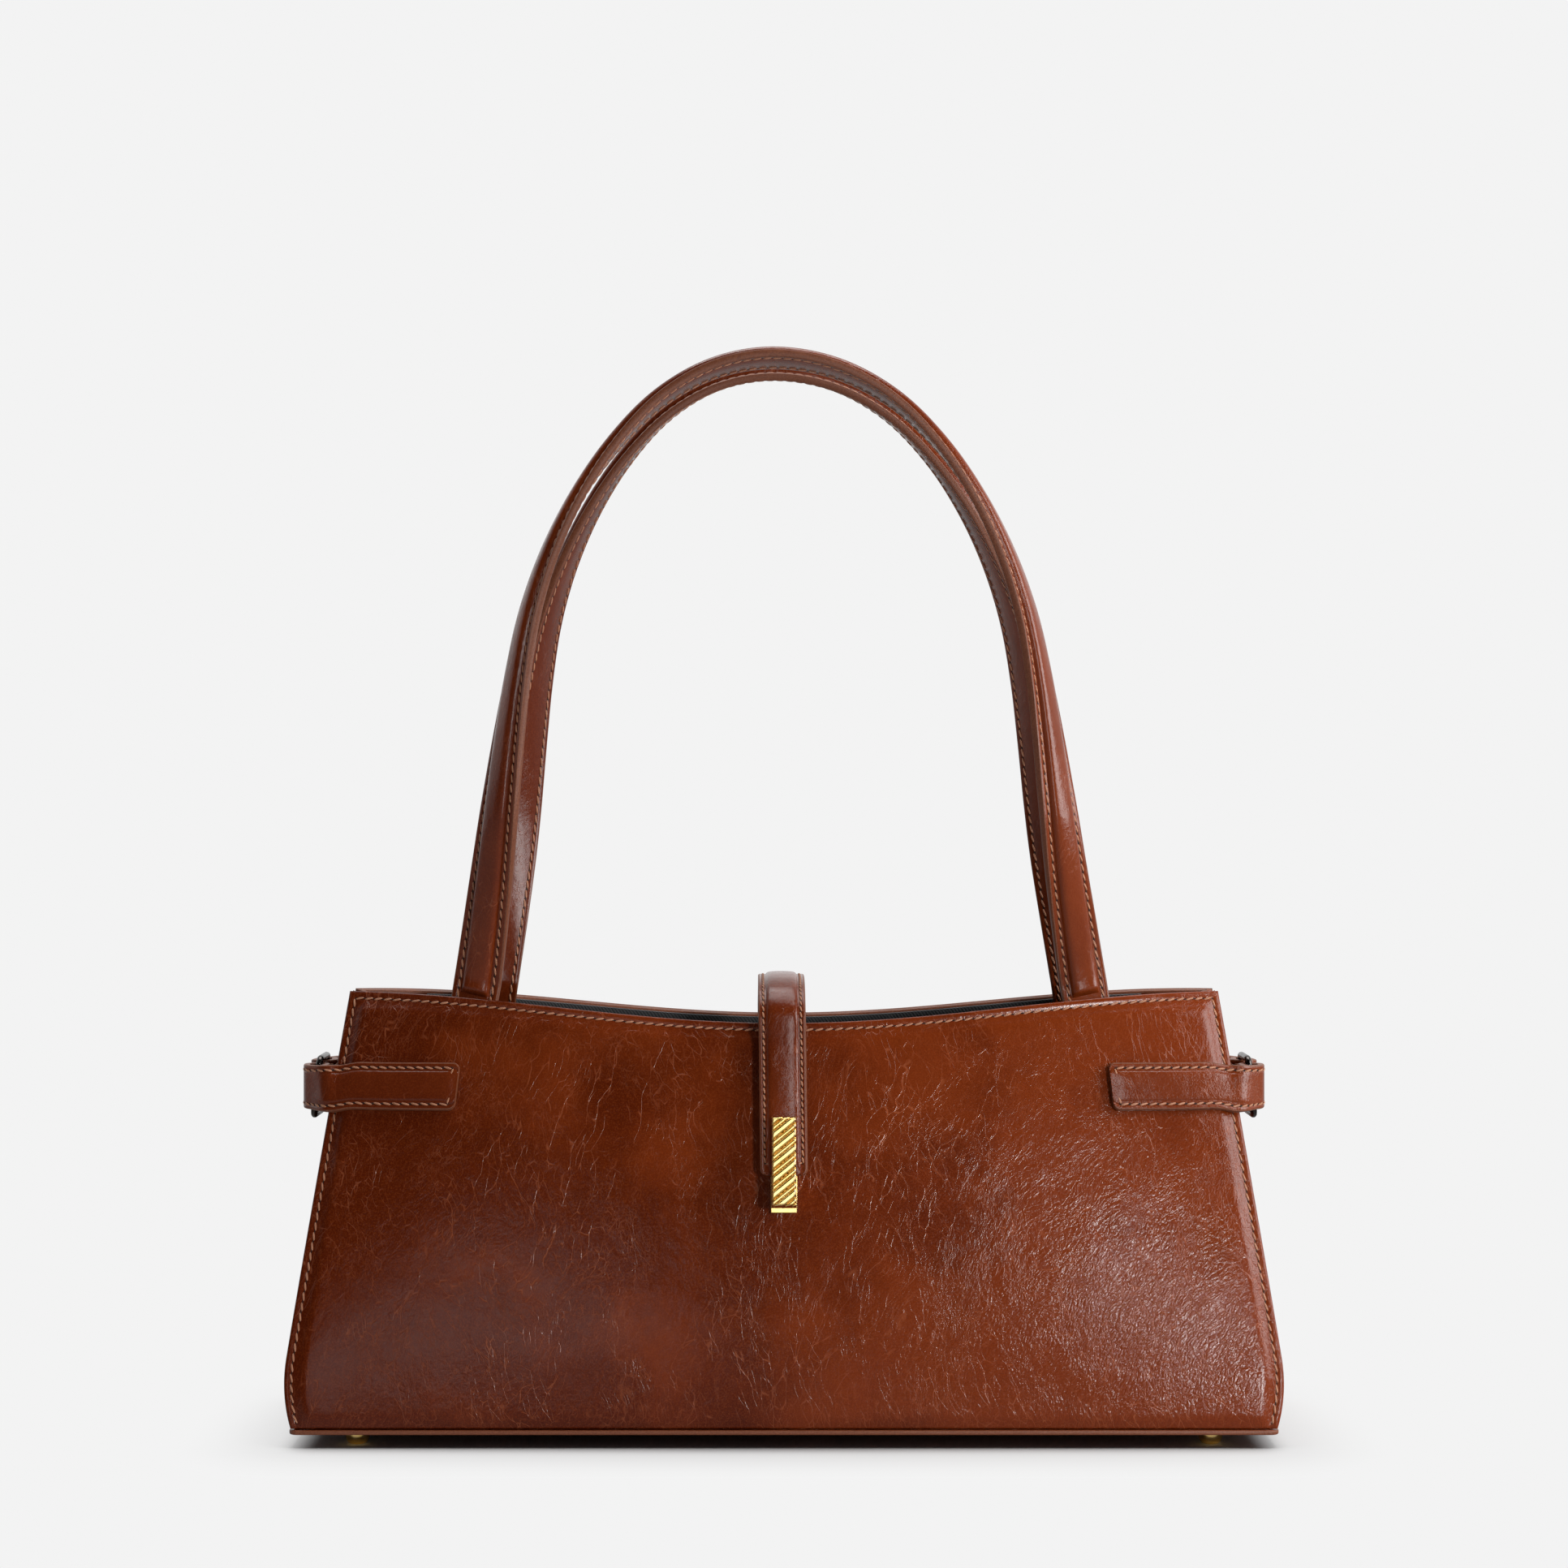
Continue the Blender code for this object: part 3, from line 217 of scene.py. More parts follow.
# Sewing and finish
BODY_PITCH = 0.0035  # length of one stitch and its gap
TAB_PITCH = 0.0024
BELT_PITCH = 0.0033
STITCH_SLANT = math.radians(13)
THREAD_ROWS = 8  # of points along one stitch
PANEL_SEAM = 0.0025  # of the stitches from the panel's edge
HANDLE_SEAM = 0.0023
TAB_SEAM = 0.0017
BELT_SEAM = 0.0020
SEAM_PULL = 0.00028  # how far the thread pulls the leather in
SEAM_REACH = 0.0007
THREAD_WIDTH = 0.00074
THREAD_HEIGHT = 0.00050
STITCH_RISE = 0.25  # of the thread's height, from the leather to a stitch's middle
STITCH_TAPER = 0.6  # of the thread's width, where a stitch goes down its needle hole
HOLE_WIDTH = 0.56  # of the thread's width, to each side of a needle hole's middle
HOLE_RISE = 0.00006
TAB_THREAD = 0.00066  # width of the tab's thinner thread
FIELD_START = 0.0031  # where the field starts to rise inside the stitches
FIELD_RUN = 0.0042
EDGE_ROUND = 0.0004
EDGE_RUN = 0.0009
SLACK = 0.00038  # depth of the soft hollows in the panels
GUSSET_SLACK = 0.0004
LINING_SLACK = 0.0009
RIM = 0.0006  # how far the painted edge turns onto a strap's faces
PAD_CROWN = (
    (1.0, 0.0),
    (0.97, 0.30),
    (0.91, 0.55),
    (0.80, 0.76),
    (0.62, 0.90),
    (0.40, 0.97),
    (0.20, 0.995),
)  # shares of a pad's half width and of its height
THREAD_ARCH = (-1.0, -0.05, 0.75, 1.0, 1.0, 1.0, 0.75, -0.05)  # height along one stitch
HOLE_SPREAD = (1.0, 0.50, 0.05, 0.05, 0.05, 0.50)  # width along one stitch
COAT_SHARE = 0.35  # of the leather's shine that its coat has
SPECKLE_SHARE = 0.36
CREASE_SHARE = 0.38
SPECKLE_COLOUR = (0.195, 0.036, 0.0062)
# painted shade: darker, more orange gold in the grooves between the bar's ribs
GROOVE_SHADE_COLOUR = (0.60, 0.36, 0.09)
# pulled creases: partly the leather's own lighter colour, partly a painted highlight where their edges
# catch the light
CREASE_PULL_AND_SHEEN = (0.360, 0.105, 0.044)
WORKED_SLOPE = (-60.0, 90.0)  # mm right less mm up, where worn leather starts and is full

# Steps of the meshes
PANEL_GRID = 0.0016  # between the corners of a panel's mesh
SIDE_STOPS, MOUTH_STOPS = 90, 160  # along the panels' sewn lines
GUSSET_COLUMNS, GUSSET_ROWS = 44, 90
LINING_COLUMNS, LINING_SIDE_COLUMNS, LINING_ROWS = 40, 20, 44
PAD_COLUMNS, PAD_ROWS = 80, 40
BAR_COLUMNS, BAR_ROWS = 40, 260
FOOT_SIDES = 40
BELT_STEP = 0.0012  # between the side straps' stations
HANDLE_STEP, HANDLE_FOLD_STEP = 0.0022, 0.0007  # between stations, and between those near the fold
HANDLE_FOLD_REACH = 0.006  # how far from the fold is near
TAB_STEP, TAB_FOLD_STEP, TAB_FOLD_REACH = 0.0015, 0.0006, 0.007
END_SHARES = (0.80, 0.69, 0.46, 0.23, 0.0)  # of a sewn-in end's depth, for its upper stations
RING_STEPS = 8  # round each of a ring's corners
ARCH_STEPS = 4
CORNER_STEPS = (0.0, 0.0002, 0.0005, 0.0009, 0.0014)  # of stations round a strap's corner
THREAD_SIDES, HOLE_SIDES, WIRE_SIDES = 8, 6, 14
WELD = 0.000001  # corners this close are one

# Studio
BACKDROP = (0.896, 0.896, 0.896)
FLOOR_COLOUR = (0.86, 0.86, 0.86)
FLOOR_REACH = 40.0
SHADOW_INSET = (0.009, 0.001)  # how far inside the base's sides the shadow starts
SHADOW_CORE = 0.015  # how far the dark shadow at the base reaches
CORE_SHARE = 0.62
SHADOW_REACH = 0.050  # from the base to where the floor is plain white again
STUDIO_DIM = (0.032, 0.032, 0.032)
FLOOR_GLOSS = (0.36, 0.36, 0.36)  # the floor as the bag's polish mirrors it
STUDIO_FILL = (0.50, 0.50, 0.50)  # what the white behind the bag lights it with
FRAME_PIXELS = 1932
FOCAL_PIXELS = 3982
SENSOR_WIDTH = 36.0
CAMERA_PLACE = (0.0, -1.150, 0.226)

FRONT, BACK = -1, 1
LEFT, RIGHT = -1, 1
LEATHER, EDGE = 0, 1

finishes = {}  # by the labels that the pieces name


def ease(value):
    value = min(1.0, max(0.0, value))
    return value * value * (3 - 2 * value)


def mix(a, b, share):
    return a + (b - a) * share


BASE_UNDERSIDE = FOOT_HEIGHT + CLEARANCE / 2
BASE_TOP = BASE_UNDERSIDE + BASE_LEATHER
PANEL_BOTTOM = BASE_TOP + CLEARANCE
BOARD_TOP = BASE_TOP + CLEARANCE + BOARD_THICKNESS
LINING_BOTTOM = BOARD_TOP + WASHER_THICKNESS + 3 * CLEARANCE + LINING_FABRIC


# Form of the body, as the solids have it

def half_width(height):
    line = mix(SIDE_LINE_WIDTH, TOP_WIDTH, height / CORNER_HEIGHT) / 2
    tuck = SIDE_TUCK * max(0.0, 1 - height / TUCK_HEIGHT) ** 2
    return line - tuck


def edge_height(across):
    """Height of the mouth's edge, for across from -1 at one corner to 1 at the other."""
    return CORNER_HEIGHT - MOUTH_SAG * math.cos(math.pi * across / 2) ** 2


def side_depth(up):
    return mix(BASE_DEPTH, CORNER_DEPTH, max(up, 0.0) ** SIDE_BOW) / 2


def middle_depth(up):
    return mix(BASE_DEPTH, MOUTH_DEPTH, max(up, 0.0) ** FRONT_BOW) / 2


def body_depth(across, up):
    crown = 1 - abs(across) ** CROWN
    return mix(side_depth(up), middle_depth(up), crown)


def front_surface(across, up):
    height = mix(PANEL_BOTTOM, edge_height(across), up)
    side_height = mix(PANEL_BOTTOM, CORNER_HEIGHT, up)
    return Vector((across * half_width(side_height), -body_depth(across, up), height))


def front_tangents(across, up):
    step = 0.004
    left, right = max(-1, across - step), min(1, across + step)
    low, high = max(0, up - step), min(1, up + step)
    along_x = (front_surface(right, up) - front_surface(left, up)).normalized()
    along_z = (front_surface(across, high) - front_surface(across, low)).normalized()
    return along_x, along_z


def front_outward(across, up):
    along_x, along_z = front_tangents(across, up)
    return along_x.cross(along_z).normalized()


def front_point(across, up, inward=0.0):
    """A point of the front panel's border plane, or one that lies deeper into the bag."""
    return front_surface(across, up) - front_outward(across, up) * inward


def up_at(height, across=0.0):
    return (height - PANEL_BOTTOM) / (edge_height(across) - PANEL_BOTTOM)


def across_at(x, up):
    return x / half_width(mix(PANEL_BOTTOM, CORNER_HEIGHT, up))


def gusset_fold(up):
    return GUSSET_FOLD * ease((up - GUSSET_FLAT) / (1 - GUSSET_FLAT))


def gusset_point(across, up):
    """The right gusset's outer face, for across from -1 at the front seam to 1 at the back one."""
    height = mix(PANEL_BOTTOM, CORNER_HEIGHT - CLEARANCE, up)
    arch = math.cos(math.pi * across / 2)
    bulge = GUSSET_BULGE * math.sin(math.pi * min(1.0, up / (2 * GUSSET_FLAT)))
    seam = side_depth(up) - PANEL_LEATHER - CLEARANCE - GUSSET_LEATHER
    x = half_width(height) - SEAM_INSET + (bulge - gusset_fold(up)) * arch
    return Vector((x, across * seam, height - MOUTH_SAG * arch * up**6))


def to_back(point):
    """Turns a place on the front round to the back."""
    return Vector((-point.x, -point.y, point.z))


def even_stops(low, high, count):
    return [mix(low, high, i / count) for i in range(count + 1)]


def rounded_end(distance, radius):
    """How much narrower each side is, this far from a strap's end with rounded corners."""
    if distance >= radius:
        return 0.0
    return radius - math.sqrt(radius**2 - (radius - distance) ** 2)


def direction_at(path, i):
    low, high = max(i - 1, 0), min(i + 1, len(path) - 1)
    return (path[high] - path[low]).normalized()


def lengths_along(points):
    """How far along a line each of its points is."""
    lengths = [0.0]
    for before, after in zip(points, points[1:]):
        lengths.append(lengths[-1] + (after - before).length)
    return lengths


def smooth_path(points, steps):
    """Points along a smooth curve through the given ones, with its ends straight."""
    padded = [points[0] * 2 - points[1], *points, points[-1] * 2 - points[-2]]
    path = [points[0].copy()]
    for before, start, end, after in zip(padded, padded[1:], padded[2:], padded[3:]):
        leave = start + (end - before) / 6
        arrive = end - (after - start) / 6
        path += interpolate_bezier(start, leave, arrive, end, steps + 1)[1:]
    return path


# Mesh tools

def lay_grid(shape, columns, rows, place, finish_of=None):
    """Adds a grid laid on place(column, row), whose faces take the material of finish_of(column)."""
    made = bmesh.ops.create_grid(shape, x_segments=columns, y_segments=rows, size=1.0)["verts"]
    if finish_of:
        for face in {face for corner in made for face in corner.link_faces}:
            middle = face.calc_center_median()
            face.material_index = finish_of(int((middle.x + 1) / 2 * columns))
    for corner in made:
        column = round((corner.co.x + 1) / 2 * columns)
        row = round((corner.co.y + 1) / 2 * rows)
        corner.co = place(column, row)


def mapped_grid(columns, rows, place, finish_of=None):
    shape = bmesh.new()
    lay_grid(shape, columns, rows, place, finish_of)
    return shape


def close_tube(shape, end_finish=0):
    """Joins a mapped grid along its seam and fills what is still open."""
    bmesh.ops.remove_doubles(shape, verts=shape.verts, dist=WELD)
    rim = [edge for edge in shape.edges if edge.is_boundary]
    if rim:
        for face in bmesh.ops.holes_fill(shape, edges=rim, sides=0)["faces"]:
            face.material_index = end_finish
    bmesh.ops.recalc_face_normals(shape, faces=shape.faces)


def bevel(shape, edges, radius, segments=3):
    bmesh.ops.bevel(
        shape, geom=edges, offset=radius, segments=segments, profile=0.5, affect="EDGES", material=-1
    )


def place_object(name, data):
    made = bpy.data.objects.new(name, data)
    bpy.context.scene.collection.objects.link(made)
    return made


def add_piece(name, shape, labels, body, replaced=(), smooth_angle=40):
    """Makes a piece from a bmesh, with the finishes of these labels. Without a body it rides on none."""
    mesh = bpy.data.meshes.new(name)
    shape.to_mesh(mesh)
    shape.free()
    mesh.shade_smooth()
    mesh.set_sharp_from_angle(angle=math.radians(smooth_angle))
    for label in labels:
        mesh.materials.append(finishes[label])
    made = place_object(name, mesh)
    if body:
        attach(made, body)
    if replaced:
        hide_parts(*replaced)
    return made


def give_thickness(made, thickness, rim=0, even=True):
    shell = made.modifiers.new("thickness", "SOLIDIFY")
    shell.thickness = thickness
    shell.offset = -1.0
    shell.use_even_offset = even
    shell.material_offset_rim = rim


def refined(stations, spacing):
    """Adds stations (place, across, outward, inset, pad) until they are spacing(place) apart."""
    places = [station[0] for station in stations]
    result = [stations[0]]
    for i, (first, second) in enumerate(zip(stations, stations[1:])):
        start, end = first[0], second[0]
        length = (end - start).length
        count = max(1, math.ceil(length / spacing((start + end) / 2)))
        leave = start + direction_at(places, i) * length / 3
        arrive = end - direction_at(places, i + 1) * length / 3
        run = interpolate_bezier(start, leave, arrive, end, count + 1)
        for n in range(1, count + 1):
            share = n / count
            across = first[1].lerp(second[1], share).normalized()
            outward = first[2].lerp(second[2], share).normalized()
            inset = mix(first[3], second[3], share)
            pad = mix(first[4], second[4], share)
            result.append((run[n], across, outward, inset, pad))
    return result


def strap_section(width, thickness, pad, pad_width, seam):
    """A strap's section as (across, out, on the padded side), with painted rims and sewn valleys."""
    edge, face, line = width / 2, thickness / 2, width / 2 - seam
    corner = RIM * 0.3
    flat = [(0.0, 0.0), (line - SEAM_REACH, 0.0), (line, -SEAM_PULL), (line + SEAM_REACH, 0.0)]
    back = [(x, -face - y, False) for x, y in flat]
    rim = [
        (edge - RIM, -face, False),
        (edge - corner, -face + corner, False),
        (edge, -face + RIM, False),
        (edge, face - RIM, False),
        (edge - corner, face - corner, False),
        (edge - RIM, face, False),
    ]
    front = [(x, face + y, False) for x, y in reversed(flat[1:])]
    raised = [(pad_width / 2 * x, face + pad * y, True) for x, y in PAD_CROWN]
    half = back + rim + front + raised + [(0.0, face + pad, True)]
    other = [(-x, y, on_pad) for x, y, on_pad in reversed(half[1:-1])]
    return half + other


def rim_columns(section, width):
    """Which faces round a section are its painted edges."""
    count = len(section)
    painted = set()
    for i in range(count):
        x, following = section[i][0], section[(i + 1) % count][0]
        if min(abs(x), abs(following)) > width / 2 - RIM - 0.00001:
            painted.add(i)
    return painted


def flipped(stations, flip):
    """Stations multiplied by a vector of ones and minus ones, which mirrors them."""
    return [(flip * p, flip * a, flip * n, inset, pad) for p, a, n, inset, pad in stations]


def strap(name, stations, section, width, thickness, body, replaced):
    """Lofts a section along stations of (place, across, outward, end inset, pad share)."""
    count = len(section)
    painted = rim_columns(section, width)
    face = thickness / 2

    def place(column, row):
        centre, across, outward, inset, pad = stations[row]
        x, y, on_pad = section[column % count]
        narrow = (width / 2 - inset) / (width / 2)
        lift = mix(face, y, pad) if on_pad else y
        return centre + across * (x * narrow) + outward * lift

    shape = mapped_grid(count, len(stations) - 1, place, lambda column: int(column in painted))
    close_tube(shape, EDGE)
    return add_piece(name, shape, ("strap_leather", "edge"), body, replaced)


def strap_line(stations, across_place, width, out):
    """(place, outward) pairs along a strap, for its sewing; out is negative on its back face."""
    line = []
    for centre, across, outward, inset, _ in stations:
        x = across_place * (width / 2 - inset) / (width / 2)
        facing = outward if out > 0 else -outward
        line.append((centre + across * x + outward * out, facing))
    return line


def end_row(station, half_run, out):
    """(place, outward) pairs across a strap, for the sewing at its end; out is as in strap_line."""
    centre, across, outward, _, _ = station
    facing = outward if out > 0 else -outward
    row = even_stops(-1, 1, 8)
    return [(centre + across * (half_run * share) + outward * out, facing) for share in row]


def sew(shape, line, pitch, slant=STITCH_SLANT, width=THREAD_WIDTH, height=THREAD_HEIGHT):
    """Runs a thread along (place, outward) pairs: a slanted stitch, then down its needle hole. Each hole
    gets a dark disc just over the leather, painted as the shade inside it.
    """
    lengths = lengths_along([place for place, _ in line])
    count = max(1, round(lengths[-1] / pitch))
    step = lengths[-1] / count

    def spot(share):
        reach = min(max(share * step, 0.0), lengths[-1] - WELD)
        i = bisect.bisect_right(lengths, reach) - 1
        part = (reach - lengths[i]) / (lengths[i + 1] - lengths[i])
        outward = line[i][1].lerp(line[i + 1][1], part).normalized()
        along = (line[i + 1][0] - line[i][0]).normalized()
        return line[i][0].lerp(line[i + 1][0], part), outward, outward.cross(along).normalized()

    def thread(column, row):
        centre, outward, side = spot(row / THREAD_ROWS)
        phase = row % THREAD_ROWS / THREAD_ROWS
        arch = THREAD_ARCH[row % THREAD_ROWS]
        sideways = (phase - 0.5) * step * math.tan(slant) if phase else 0.0
        rise = STITCH_RISE * arch if arch > 0 else arch
        centre = centre + side * sideways + outward * (height * rise)
        angle = math.tau * column / THREAD_SIDES
        across = side * math.cos(angle) * (width / 2) * mix(STITCH_TAPER, 1.0, max(0.0, arch))
        return centre + across + outward * math.sin(angle) * (height / 2)

    # dark discs just over the leather, painted as the shade inside each needle hole
    def holes(column, row):
        centre, outward, side = spot(row / len(HOLE_SPREAD))
        spread = HOLE_SPREAD[row % len(HOLE_SPREAD)] * width * HOLE_WIDTH
        angle = math.tau * column / HOLE_SIDES
        return centre + side * math.cos(angle) * spread + outward * math.sin(angle) * HOLE_RISE

    lay_grid(shape, THREAD_SIDES, THREAD_ROWS * count, thread, lambda column: 0)
    lay_grid(shape, HOLE_SIDES, len(HOLE_SPREAD) * count, holes, lambda column: 1)


def add_stitches(name, shape, body):
    close_tube(shape)
    return add_piece(name, shape, ("thread", "hole"), body)


# Finishes

def feed(tree, value, socket):
    """Links an output to a socket, or sets the socket to a number, vector or colour."""
    if isinstance(value, bpy.types.NodeSocket):
        tree.links.new(value, socket)
    else:
        socket.default_value = (*value, 1.0) if socket.type == "RGBA" else value


def add_node(tree, kind, inputs=None, **settings):
    """Adds a node. Settings name its properties, and inputs maps its sockets to what feeds them."""
    made = tree.nodes.new(kind)
    for key, value in settings.items():
        setattr(made, key, value)
    for socket, value in (inputs or {}).items():
        feed(tree, value, made.inputs[socket])
    return made


def add_vector_node(tree, operation, inputs):
    return add_node(tree, "ShaderNodeVectorMath", inputs, operation=operation)


def add_group(name, inputs, outputs):
    """A group that reads a place. Gives it back with its inputs and the place in millimetres."""
    group = bpy.data.node_groups.new(name, "ShaderNodeTree")
    group.interface.new_socket("Vector", in_out="INPUT", socket_type="NodeSocketVector")
    for label, value in inputs.items():
        socket = group.interface.new_socket(label, in_out="INPUT", socket_type="NodeSocketFloat")
        socket.default_value = value
    for label in outputs:
        group.interface.new_socket(label, in_out="OUTPUT", socket_type="NodeSocketFloat")
    given = group.nodes.new("NodeGroupInput").outputs
    place = add_vector_node(group, "SCALE", {0: given["Vector"], "Scale": 1000.0}).outputs[0]
    return group, given, place


def calculate(tree, operation, first, second):
    return add_node(tree, "ShaderNodeMath", {0: first, 1: second}, operation=operation).outputs[0]


def product(tree, first, *others):
    for other in others:
        first = calculate(tree, "MULTIPLY", first, other)
    return first


def remap(tree, value, low, high, to_low=0.0, to_high=1.0):
    inputs = {"Value": value, "From Min": low, "From Max": high, "To Min": to_low, "To Max": to_high}
    made = add_node(tree, "ShaderNodeMapRange", inputs, interpolation_type="SMOOTHSTEP")
    return made.outputs["Result"]


def noise_of(tree, place, scale, detail=2.0, roughness=0.5, output="Fac"):
    inputs = {"Vector": place, "Scale": scale, "Detail": detail, "Roughness": roughness}
    return add_node(tree, "ShaderNodeTexNoise", inputs).outputs[output]


def colour_mix(tree, share, first, second):
    inputs = {0: share, 6: first, 7: second}
    return add_node(tree, "ShaderNodeMix", inputs, data_type="RGBA").outputs[2]


def lean_along(tree, place, turn, stretch):
    """Coordinates in which a pattern comes out stretched, leaning by turn in the panel's plane."""
    inputs = {"Vector": place, "Rotation": (0.0, turn, 0.0), "Scale": (1.0, 1.0, stretch)}
    return add_node(tree, "ShaderNodeMapping", inputs, vector_type="TEXTURE").outputs[0]


def crease_layer(tree, leaned, size, thin):
    """Hairline creases: the borders of long cells that are size mm wide."""
    inputs = {"Vector": leaned, "Scale": calculate(tree, "DIVIDE", 1.0, size)}
    cells = add_node(tree, "ShaderNodeTexVoronoi", inputs, feature="DISTANCE_TO_EDGE")
    return remap(tree, cells.outputs["Distance"], 0.0, thin, 1.0, 0.0)


def make_leather_grain():
    """Grain, creases and random tone of polished leather, with painted shade that darkens it towards its
    left side. Lengths are in millimetres.
    """
    sizes = {"Grain size": 1.5, "Crease size": 3.2, "Crease cover": 0.5}
    group, given, place = add_group("leather_grain", sizes, ("Height", "Creases", "Shade", "Speckle"))
    sides = add_node(group, "ShaderNodeSeparateXYZ", {0: place}).outputs
    slope = calculate(group, "SUBTRACT", sides["X"], sides["Z"])
    worked = remap(group, slope, *WORKED_SLOPE)

    moved = place
    for scale, reach in ((0.022, 22.0), (0.09, 3.0), (0.50, 0.35)):
        drift = noise_of(group, place, scale, output="Color")
        inputs = {0: drift, 1: (reach, reach, reach), 2: moved}
        moved = add_vector_node(group, "MULTIPLY_ADD", inputs).outputs[0]

    grain_scale = calculate(group, "DIVIDE", 1.0, given["Grain size"])
    wrinkles = noise_of(group, lean_along(group, moved, 0.7, 2.6), grain_scale, 3.0, 0.62)
    pores = noise_of(group, place, 1.9, 3.0, 0.65)
    swell = noise_of(group, moved, 0.12, 3.0, 0.6)
    hide = noise_of(group, place, 0.019, 4.0, 0.58)

    cover = calculate(group, "SUBTRACT", 1.0, given["Crease cover"])
    layers = []
    for seed, share, turn, stretch, thin, worn, favour in (
        (0.0, 0.90, 0.34, 7.0, 0.048, 1.0, -0.10),
        (40.0, 0.72, -0.30, 6.0, 0.052, 0.85, 0.14),
        (90.0, 0.42, 0.20, 2.4, 0.100, 0.45, 0.10),
    ):
        leaned = lean_along(group, moved, turn, stretch)
        lines = crease_layer(group, leaned, product(group, given["Crease size"], share), thin)
        inputs = {0: leaned, 1: (seed, seed * 0.7, seed * 1.3)}
        area = add_vector_node(group, "ADD", inputs).outputs[0]
        patches = noise_of(group, area, 0.050, 3.0, 0.6)
        above = calculate(group, "SUBTRACT", patches, product(group, cover, 0.78))
        above = calculate(group, "ADD", above, product(group, worked, favour))
        patch = remap(group, above, -0.03, 0.22)
        broken = remap(group, noise_of(group, area, 0.34, 2.0, 0.6), 0.40, 0.62)
        layers.append(product(group, lines, patch, broken, worn))
    creases = calculate(group, "MAXIMUM", calculate(group, "MAXIMUM", layers[0], layers[1]), layers[2])
    plates = product(group, given["Crease size"], 0.36)
    pressed = crease_layer(group, lean_along(group, moved, 0.6, 2.6), plates, 0.24)

    height = product(group, wrinkles, calculate(group, "ADD", product(group, worked, 0.9), 0.8))
    height = calculate(group, "ADD", height, product(group, pores, 0.38))
    height = calculate(group, "ADD", height, product(group, swell, 3.0))
    height = calculate(group, "SUBTRACT", height, product(group, creases, 0.74))
    height = calculate(group, "SUBTRACT", height, product(group, pressed, product(group, worked, 0.42)))
    # painted shade: the hide's random tone, plus a darkening towards the leather's left side, away from the
    # key light
    shade = calculate(group, "ADD", hide, product(group, sides["X"], 0.0012))
    results = {"Height": height, "Creases": creases, "Shade": shade, "Speckle": pores}
    add_node(group, "NodeGroupOutput", results)
    return group


def make_ribs(name, label, width, spacing, distortion, detail, dye):
    """Slanted ribs of a twisted thread or a twill cloth, and their uneven dye."""
    group, given, place = add_group(name, {label: width}, ("Height", "Shade"))
    scale = calculate(group, "DIVIDE", spacing, given[label])
    inputs = {"Vector": place, "Scale": scale, "Distortion": distortion, "Detail": detail}
    ribs = add_node(group, "ShaderNodeTexWave", inputs, wave_type="BANDS", bands_direction="DIAGONAL")
    results = {"Height": ribs.outputs["Fac"], "Shade": noise_of(group, place, *dye)}
    add_node(group, "NodeGroupOutput", results)
    return group


def make_polish_haze():
    """Fine hairlines and haze of worn polished metal."""
    group, given, place = add_group("polish_haze", {"Stretch": 8.0}, ("Haze", "Hairlines"))
    sides = add_node(group, "ShaderNodeSeparateXYZ", {0: place}).outputs
    inputs = {0: product(group, sides[0], given["Stretch"]), 1: sides[1], 2: sides[2]}
    drawn = add_node(group, "ShaderNodeCombineXYZ", inputs).outputs[0]
    results = {
        "Haze": noise_of(group, place, 0.35, 3.0, 0.55),
        "Hairlines": noise_of(group, drawn, 1.5, 3.0, 0.6),
    }
    add_node(group, "NodeGroupOutput", results)
    return group


def add_finish(label, name, group, colours, tone, rough, bump=None, sizes=None, **settings):
    """A finish that varies between two colours. Gives back what a further layer of colour needs.

    tone is the group's output that mixes the colours and the range to map it from, if any. rough is
    the same for the roughness, with the two roughnesses. bump is the output for its relief and a depth.
    sizes are for the group and settings for the shader.
    """
    made = bpy.data.materials.new(name)
    made.use_nodes = True
    tree = made.node_tree
    inputs = {"Vector": add_node(tree, "ShaderNodeTexCoord").outputs["Object"], **(sizes or {})}
    pattern = add_node(tree, "ShaderNodeGroup", inputs, node_tree=group).outputs
    share = remap(tree, pattern[tone[0]], *tone[1:]) if tone[1:] else pattern[tone[0]]
    values = {socket.replace("_", " "): value for socket, value in settings.items()}
    values["Base Color"] = colour_mix(tree, share, *colours)
    values["Roughness"] = remap(tree, pattern[rough[0]], *rough[1:])
    if bump:
        relief = {"Height": pattern[bump[0]], "Distance": bump[1]}
        values["Normal"] = add_node(tree, "ShaderNodeBump", relief).outputs["Normal"]
    shader = tree.nodes["Principled BSDF"]
    for socket, value in values.items():
        feed(tree, value, shader.inputs[socket])
    finishes[label] = made
    return tree, pattern, values["Base Color"], shader.inputs["Base Color"]


def add_leather(label, name, grain, colours, cover, size, rough, shine):
    """Polished cognac leather with a fine orange speckle. Its pulled creases show lighter, partly as the
    leather's own colour and partly as a painted highlight where their edges catch the light.
    """
    tree, pattern, colour, base = add_finish(
        label,
        name,
        grain,
        colours,
        ("Shade", 0.34, 0.66),
        ("Speckle", 0.3, 0.7, *rough),
        ("Height", 0.00010),
        {"Crease cover": cover, "Crease size": size},
        Coat_Weight=shine * COAT_SHARE,
        Coat_Roughness=0.15,
        Specular_IOR_Level=shine,
    )
    speckle = product(tree, remap(tree, pattern["Speckle"], 0.42, 0.72), SPECKLE_SHARE)
    colour = colour_mix(tree, speckle, colour, SPECKLE_COLOUR)
    # crease lines lightened, partly as a painted highlight
    creased = product(tree, pattern["Creases"], CREASE_SHARE)
    feed(tree, colour_mix(tree, creased, colour, CREASE_PULL_AND_SHEEN), base)


